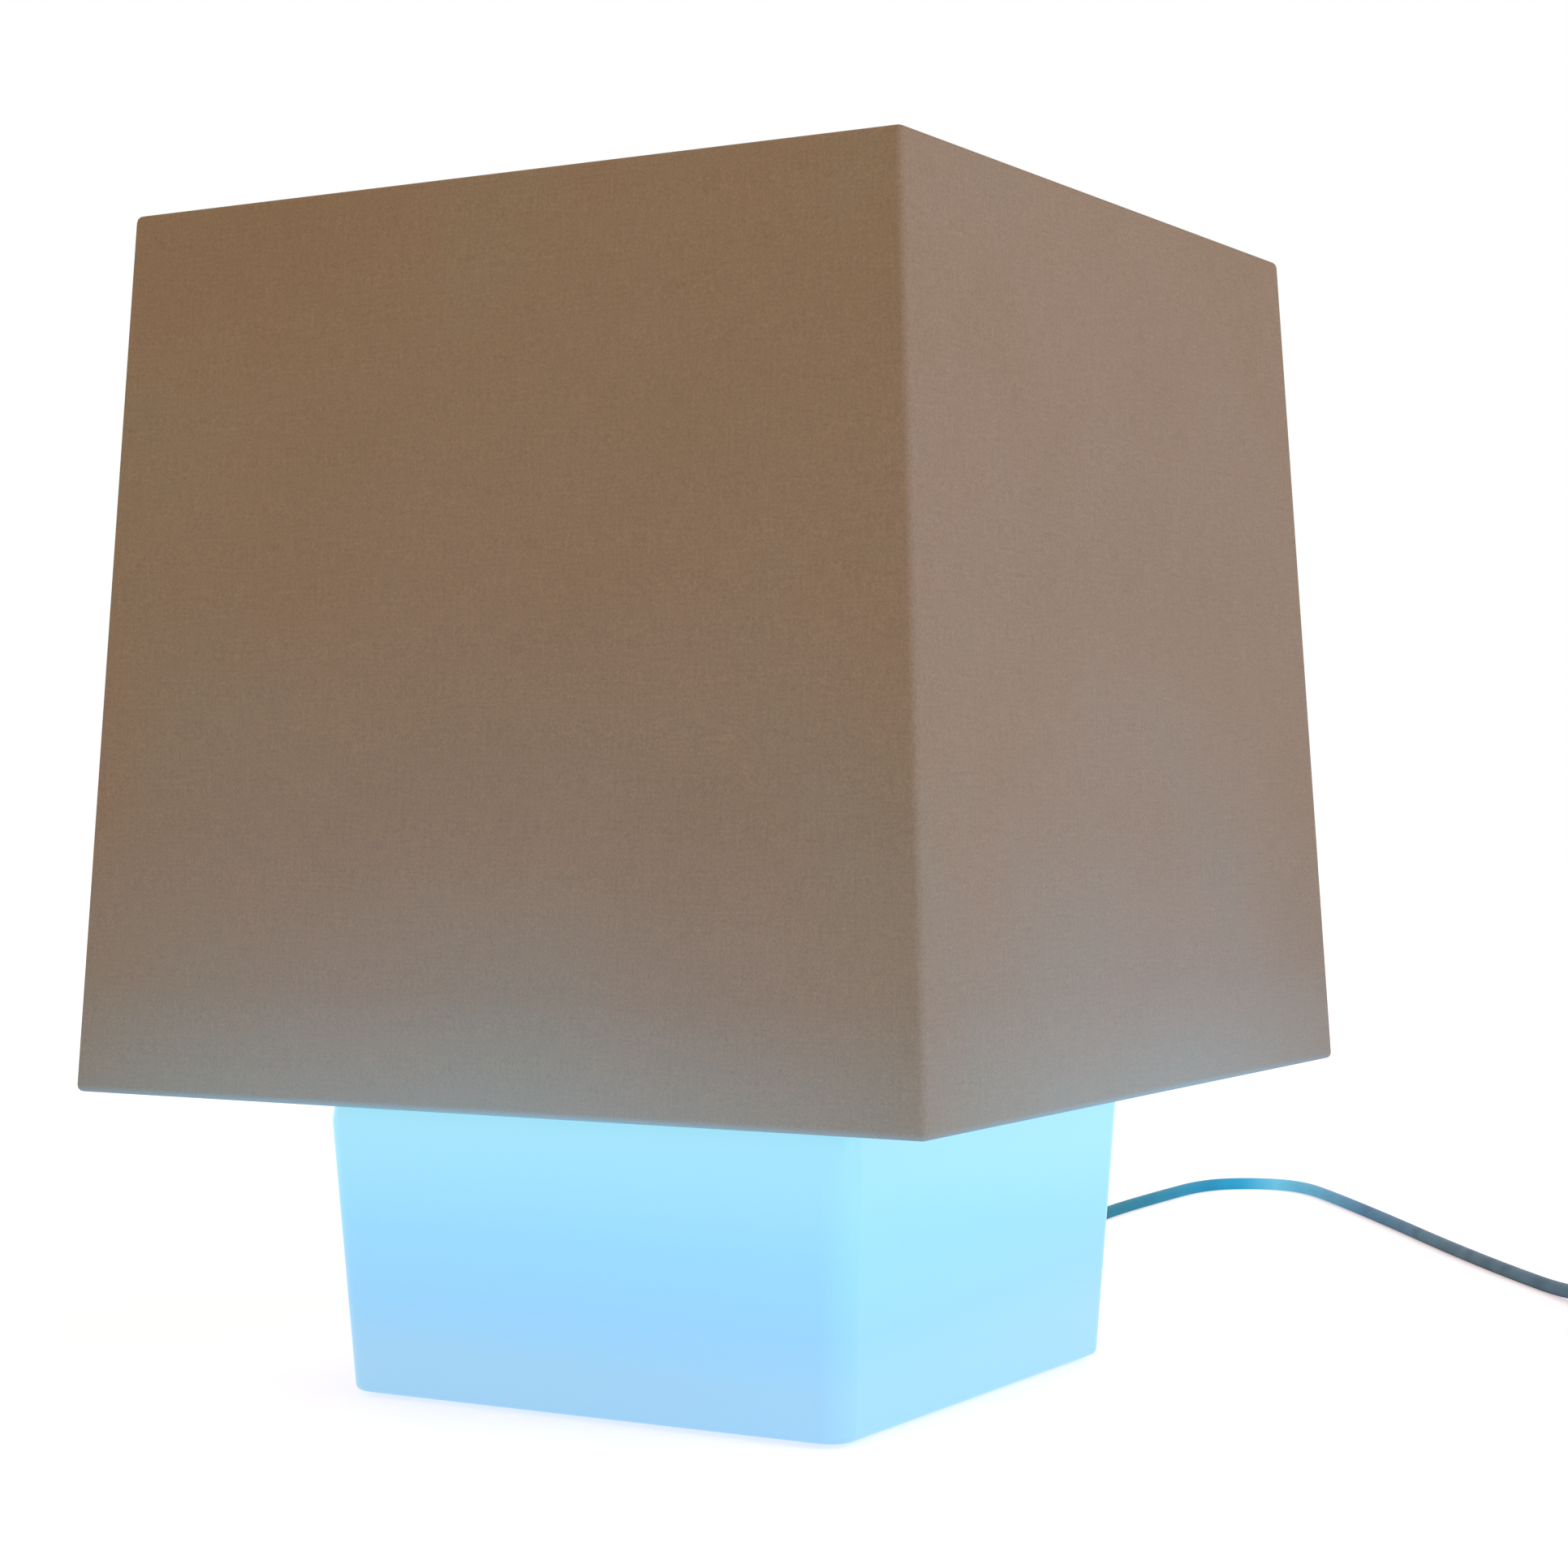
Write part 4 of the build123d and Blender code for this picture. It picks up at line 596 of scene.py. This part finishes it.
# ---------------------------------------------------------------- rigid nodes, dressed as they are
class LAMP_OT_plastics(Operator):
    """Moulded plastics, rubbers and ceramic of the rigid pieces"""

    bl_idname = "lamp.plastics"
    bl_label = "Plastics and rubbers"

    def execute(self, context):
        # Clear silicone: colourless, a little milky, soft sheen.
        dress(["foot_pads"], moulded(
            "clear_silicone_rubber", "#C9CCCC", "#BFC3C4", roughness=0.35, grain=0.4 * MM, bump=0.1,
            IOR=1.41, Transmission_Weight=0.5))
        # Nitrile rubber: near black, dull.
        dress(["base_gasket", "top_gasket"], moulded(
            "nitrile_rubber", "#1B1B1D", "#141415", roughness=0.7, grain=0.5 * MM, bump=0.3))
        # PBT polyester: warm white with a satin face off a polished mould.
        dress(["lower_lampholder", "upper_holder_dome", "upper_holder_skirt"], moulded(
            "white_pbt_polyester", "#EDEAE2", "#E6E3DA", roughness=0.38, grain=0.35 * MM, bump=0.12,
            IOR=1.55))
        dress(["shade_ring_nut"], moulded(
            "white_pbt_ring_nut", "#EFECE5", "#E8E4DB", roughness=0.42, grain=0.35 * MM, bump=0.2,
            IOR=1.55))
        # Glazed steatite: hard white ceramic under a thin clear glaze.
        dress(["upper_insulator"], moulded(
            "glazed_steatite", "#E9E5DA", "#DFDACC", roughness=0.2, grain=0.8 * MM, bump=0.1,
            Coat_Weight=0.7, Coat_Roughness=0.06))
        # Natural polyamide: milky white, slightly waxy.
        dress(["clamp_saddle", "terminal_block"], moulded(
            "natural_polyamide", "#E4E4DC", "#D8D9D0", roughness=0.45, grain=0.4 * MM, bump=0.15,
            Subsurface_Weight=0.1, Subsurface_Scale=2 * MM))
        # Flame-retardant polycarbonate of the bulbs' housings: bright white, gloss.
        dress(["lower_bulb_housing", "upper_bulb_housing"], moulded(
            "white_polycarbonate", "#F1F1EF", "#EAEAE8", roughness=0.25, grain=0.3 * MM, bump=0.06,
            IOR=1.58))
        # Soft grey PVC of the cord's relief and plug: satin, a little greasy. The relief in the wall of the
        # glass has the glass's light painted on it as a faint teal glow.
        dress(["cord_relief"], moulded(
            "soft_grey_pvc_relief", "#6E7E89", "#63727D", roughness=0.45, grain=0.3 * MM, bump=0.2,
            IOR=1.53, Emission_Color=linear("#0B3F4A"), Emission_Strength=1.0))
        dress(["plug_relief", "plug_body"], moulded(
            "soft_grey_pvc_plug", "#6E7A82", "#646F77", roughness=0.42, grain=0.3 * MM, bump=0.2,
            IOR=1.53))
        # ABS of the switch: hard grey, fine spark texture, with darker gloss rockers.
        dress(["switch_base", "switch_cover"], moulded(
            "grey_abs", "#7F868B", "#777E83", roughness=0.4, grain=0.35 * MM, bump=0.25,
            IOR=1.54))
        dress(["switch_rocker_base", "switch_rocker_shade"], moulded(
            "dark_grey_abs", "#52585D", "#4B5156", roughness=0.28, grain=0.3 * MM, bump=0.08,
            IOR=1.54))
        # Nylon sleeves on the plug's pins: black, matt.
        dress(["plug_pin_sleeves"], moulded(
            "black_nylon", "#1D1D1F", "#161618", roughness=0.5, grain=0.25 * MM, bump=0.15))
        return {"FINISHED"}


class LAMP_OT_metals(Operator):
    """Plated steel, brass, nickel, and the powder-coated wires of the shade"""

    bl_idname = "lamp.metals"
    bl_label = "Metals"

    def execute(self, context):
        # Zinc plate on rolled sheet: cool grey with a faint cloudy crystal and fine rolling lines.
        dress(["base_plate", "stirrup", "clamp_strap"], sheet_metal(
            "zinc_plated_steel", "#D3D6DA", "#B4B8BD", roughness=0.36, grain=2.5 * MM,
            stretch=(1.0, 0.25, 1.0)))
        dress([
            "stirrup_screws", "lower_holder_screws", "clamp_screws", "switch_screws", "threaded_tube",
            "tube_nuts",
        ], sheet_metal("zinc_plated_fastener", "#CFD1D4", "#AEB1B6", roughness=0.3, grain=0.8 * MM))
        # Satin nickel plate over spun steel: warm grey with fine rings from the lathe.
        dress(["top_cap"], sheet_metal(
            "satin_nickel_plate", "#D6D1C8", "#BDB8AE", roughness=0.28, grain=0.5 * MM,
            stretch=(1.0, 1.0, 12.0)))
        # Pressed brass, a little dull from handling.
        dress([
            "lower_contact_shell", "lower_centre_contact", "upper_contact_shell", "upper_centre_contact",
            "terminal_screws", "switch_terminals",
        ], sheet_metal("pressed_brass", "#D9B96C", "#BF9C50", roughness=0.3, grain=0.8 * MM))
        # Bright nickel on the bulbs' rolled caps and the plug's pins.
        dress(["lower_bulb_cap", "upper_bulb_cap", "plug_pins"], sheet_metal(
            "bright_nickel_plate", "#D8D5CE", "#C6C3BB", roughness=0.18, grain=0.6 * MM))
        # White powder coat on the shade's wires: even, with slight orange peel.
        dress(["shade_lower_wire", "shade_upper_wire", "shade_fitter"], moulded(
            "white_powder_coat", "#E9E9E4", "#E2E2DC", roughness=0.4, grain=0.9 * MM, bump=0.25,
            Coat_Weight=0.2))
        return {"FINISHED"}


FROST_SCALE = 900.0            # in each metre: the frost's grain is about 1 mm


def frosted_globe(name, glow):
    """Frosted polycarbonate: even milky white, satin, slightly translucent."""
    made, tree, shader = new_material(
        name, Roughness=0.4, IOR=1.58, Subsurface_Weight=0.3, Subsurface_Scale=4 * MM,
        Emission_Color=linear("#BFEFFF"), Emission_Strength=glow)
    haze = add(tree, "ShaderNodeTexNoise", {
        "Vector": object_place(tree), "Scale": FROST_SCALE, "Detail": 2.0})
    tint = add(tree, "ShaderNodeValToRGB", {"Fac": haze.outputs["Fac"]}, [
        (0.3, "#E8E8E4"), (0.7, "#F3F3F0")])
    frost = add(tree, "ShaderNodeBump", {
        "Height": haze.outputs["Fac"], "Strength": 0.1, "Distance": 0.1 * MM})
    tree.links.new(tint.outputs["Color"], shader.inputs["Base Color"])
    tree.links.new(frost.outputs["Normal"], shader.inputs["Normal"])
    return made


class LAMP_OT_bulbs(Operator):
    """Bulbs' globes: the lower one is lit"""

    bl_idname = "lamp.bulbs"
    bl_label = "Bulb globes"

    def execute(self, context):
        dress(["upper_bulb_globe"], frosted_globe("frosted_polycarbonate", 0.0))
        dress(["lower_bulb_globe"], frosted_globe("frosted_polycarbonate_lit", 1.0))
        return {"FINISHED"}


WIRES_SPREAD = 6.0 * MM        # the wires' colours change over this distance to each side of the middle


class LAMP_OT_wiring(Operator):
    """Insulated wires, the sheathed end of the cord and the shade's liner"""

    bl_idname = "lamp.wiring"
    bl_label = "Wiring and liner"

    def execute(self, context):
        # PVC insulation in the usual colours: blue for neutral, grey for the switched core, brown for live.
        made, tree, shader = new_material("pvc_wire_insulation", Roughness=0.35, IOR=1.53)
        apart = add(tree, "ShaderNodeSeparateXYZ", {"Vector": object_place(tree)})
        core = add(tree, "ShaderNodeMapRange", {
            "Value": apart.outputs["X"], "From Min": -WIRES_SPREAD, "From Max": WIRES_SPREAD})
        tint = add(tree, "ShaderNodeValToRGB", {"Fac": core.outputs["Result"]}, [
            (0.0, "#2D5FA8"), (0.47, "#7C7F82"), (0.53, "#6B4226")])
        tint.color_ramp.interpolation = "CONSTANT"
        tree.links.new(tint.outputs["Color"], shader.inputs["Base Color"])
        dress(["supply_wires", "lower_wires", "upper_wires"], made)
        dress(["cord_end"], moulded(
            "clear_grey_pvc_end", "#5F7480", "#566A75", roughness=0.28, grain=0.5 * MM, bump=0.05,
            IOR=1.53))
        # Styrene sheet behind the cloth: plain warm white, satin.
        sides = ("front", "right", "back", "left")
        dress([f"shade_panel_{side}" for side in sides], moulded(
            "white_styrene_liner", "#E4DED2", "#E1DBCE", roughness=0.5, grain=1.2 * MM, bump=0.03,
            IOR=1.59))
        return {"FINISHED"}


# ---------------------------------------------------------------- stage
# Places and widths in metres.
FLOOR_HALF = 6.0
FLOOR_TONE = 0.95              # of the card, as the lamp's own surfaces meet it
FLOOR_TONE_SEEN = 0.7          # of the card in the picture, where the lift below is added
FLOOR_LIFT = 0.51
FLOOR_LIFT_COLOUR = (1.0, 0.84, 0.84, 1.0)
SIDE_LAMP_PLACE = (1.6, -0.1, 0.75)
SIDE_LAMP_AIM = Vector((0, 0, 0.2))
SIDE_LAMP_WIDTH = 1.2
SIDE_LAMP_COLOUR = (0.31, 0.49, 1.0)


def white_card():
    """White card, matt. It shows as pure white, with only the soft shadow round the foot of the lamp: the
    camera sees it darker and lifted by a warm tone, which takes the blue of the glass off the shadow."""
    made, tree, shader = new_material("matt_white_card", Roughness=0.9, Emission_Color=FLOOR_LIFT_COLOUR)
    seen = add(tree, "ShaderNodeLightPath")
    tone = add(tree, "ShaderNodeMapRange", {
        "Value": seen.outputs["Is Camera Ray"], "To Min": FLOOR_TONE, "To Max": FLOOR_TONE_SEEN})
    lift = add(tree, "ShaderNodeMath", {
        0: seen.outputs["Is Camera Ray"], 1: FLOOR_LIFT}, operation="MULTIPLY")
    tree.links.new(tone.outputs["Result"], shader.inputs["Base Color"])
    tree.links.new(lift.outputs[0], shader.inputs["Emission Strength"])
    return made


def hang_side_lamp(scene, power):
    """Soft cool lamp on the right, like a window. The camera doesn't see it."""
    lamp = bpy.data.lights.new("side_lamp", "AREA")
    lamp.energy = power
    lamp.color = SIDE_LAMP_COLOUR
    lamp.shape = "RECTANGLE"
    lamp.size = SIDE_LAMP_WIDTH
    lamp.size_y = SIDE_LAMP_WIDTH
    holder = bpy.data.objects.new("side_lamp", lamp)
    holder.location = SIDE_LAMP_PLACE
    holder.visible_camera = False
    holder.rotation_euler = (SIDE_LAMP_AIM - holder.location).to_track_quat("-Z", "Y").to_euler()
    scene.collection.objects.link(holder)


def even_sky(tint, strength):
    """Even light from all round. Camera, mirror and glass see plain white in its place."""
    world = bpy.data.worlds.new("even_sky")
    world.use_nodes = True
    sky = world.node_tree
    sky.nodes.clear()
    path = add(sky, "ShaderNodeLightPath")
    first = add(sky, "ShaderNodeMath", {
        0: path.outputs["Is Camera Ray"], 1: path.outputs["Is Glossy Ray"]}, operation="MAXIMUM")
    either = add(sky, "ShaderNodeMath", {
        0: first.outputs[0], 1: path.outputs["Is Transmission Ray"]}, operation="MAXIMUM")
    even = add(sky, "ShaderNodeBackground", {"Color": (*tint, 1.0), "Strength": strength})
    white = add(sky, "ShaderNodeBackground", {"Color": (1.0, 1.0, 1.0, 1.0), "Strength": 1.0})
    mixed = add(sky, "ShaderNodeMixShader", {
        0: either.outputs[0], 1: even.outputs[0], 2: white.outputs[0]})
    add(sky, "ShaderNodeOutputWorld", {"Surface": mixed.outputs[0]})
    return world


class LAMP_OT_stage(Operator):
    """Pale floor, even light from all round and a soft lamp on the right"""

    bl_idname = "lamp.stage"
    bl_label = "Stage"

    def execute(self, context):
        settings = context.scene.lamp_stage
        bm = bmesh.new()
        bmesh.ops.create_grid(bm, x_segments=1, y_segments=1, size=FLOOR_HALF)
        floor = piece_of("floor", bm, white_card(), smooth=False)
        hang_side_lamp(context.scene, settings.side_light)
        context.scene.world = even_sky(settings.dome_tint, settings.dome)
        context.scene.view_settings.view_transform = "Standard"
        return {"FINISHED"}


# ---------------------------------------------------------------- panel and registration
class LAMP_PT_panel(Panel):
    """Lists the lamp's operators and settings"""

    bl_idname = "LAMP_PT_panel"
    bl_label = "Table lamp"
    bl_space_type = "VIEW_3D"
    bl_region_type = "UI"
    bl_category = "Lamp"

    def draw(self, context):
        for group in GROUPS:
            settings = getattr(context.scene, group)
            for name in settings.bl_rna.properties.keys():
                if name not in ("rna_type", "name"):
                    self.layout.prop(settings, name)
        for operator in OPERATORS:
            self.layout.operator(operator.bl_idname)


OPERATORS = (
    LAMP_OT_camera, LAMP_OT_cord, LAMP_OT_glass, LAMP_OT_shade, LAMP_OT_bulbs, LAMP_OT_plastics,
    LAMP_OT_metals, LAMP_OT_wiring, LAMP_OT_stage,
)
GROUPS = {
    "lamp_cord": LampCordSettings,
    "lamp_glass": LampGlassSettings,
    "lamp_shade": LampShadeSettings,
    "lamp_stage": LampStageSettings,
}


def register():
    for group in GROUPS.values():
        bpy.utils.register_class(group)
    for operator in OPERATORS:
        bpy.utils.register_class(operator)
    bpy.utils.register_class(LAMP_PT_panel)
    for name, group in GROUPS.items():
        setattr(bpy.types.Scene, name, PointerProperty(type=group))


def unregister():
    for name in GROUPS:
        delattr(bpy.types.Scene, name)
    bpy.utils.unregister_class(LAMP_PT_panel)
    for operator in reversed(OPERATORS):
        bpy.utils.unregister_class(operator)
    for group in reversed(list(GROUPS.values())):
        bpy.utils.unregister_class(group)


def main():
    register()
    bpy.ops.lamp.camera()
    bpy.ops.lamp.cord()
    bpy.ops.lamp.glass()
    bpy.ops.lamp.shade()
    bpy.ops.lamp.bulbs()
    bpy.ops.lamp.plastics()
    bpy.ops.lamp.metals()
    bpy.ops.lamp.wiring()
    bpy.ops.lamp.stage()


if __name__ == "__main__":
    main()
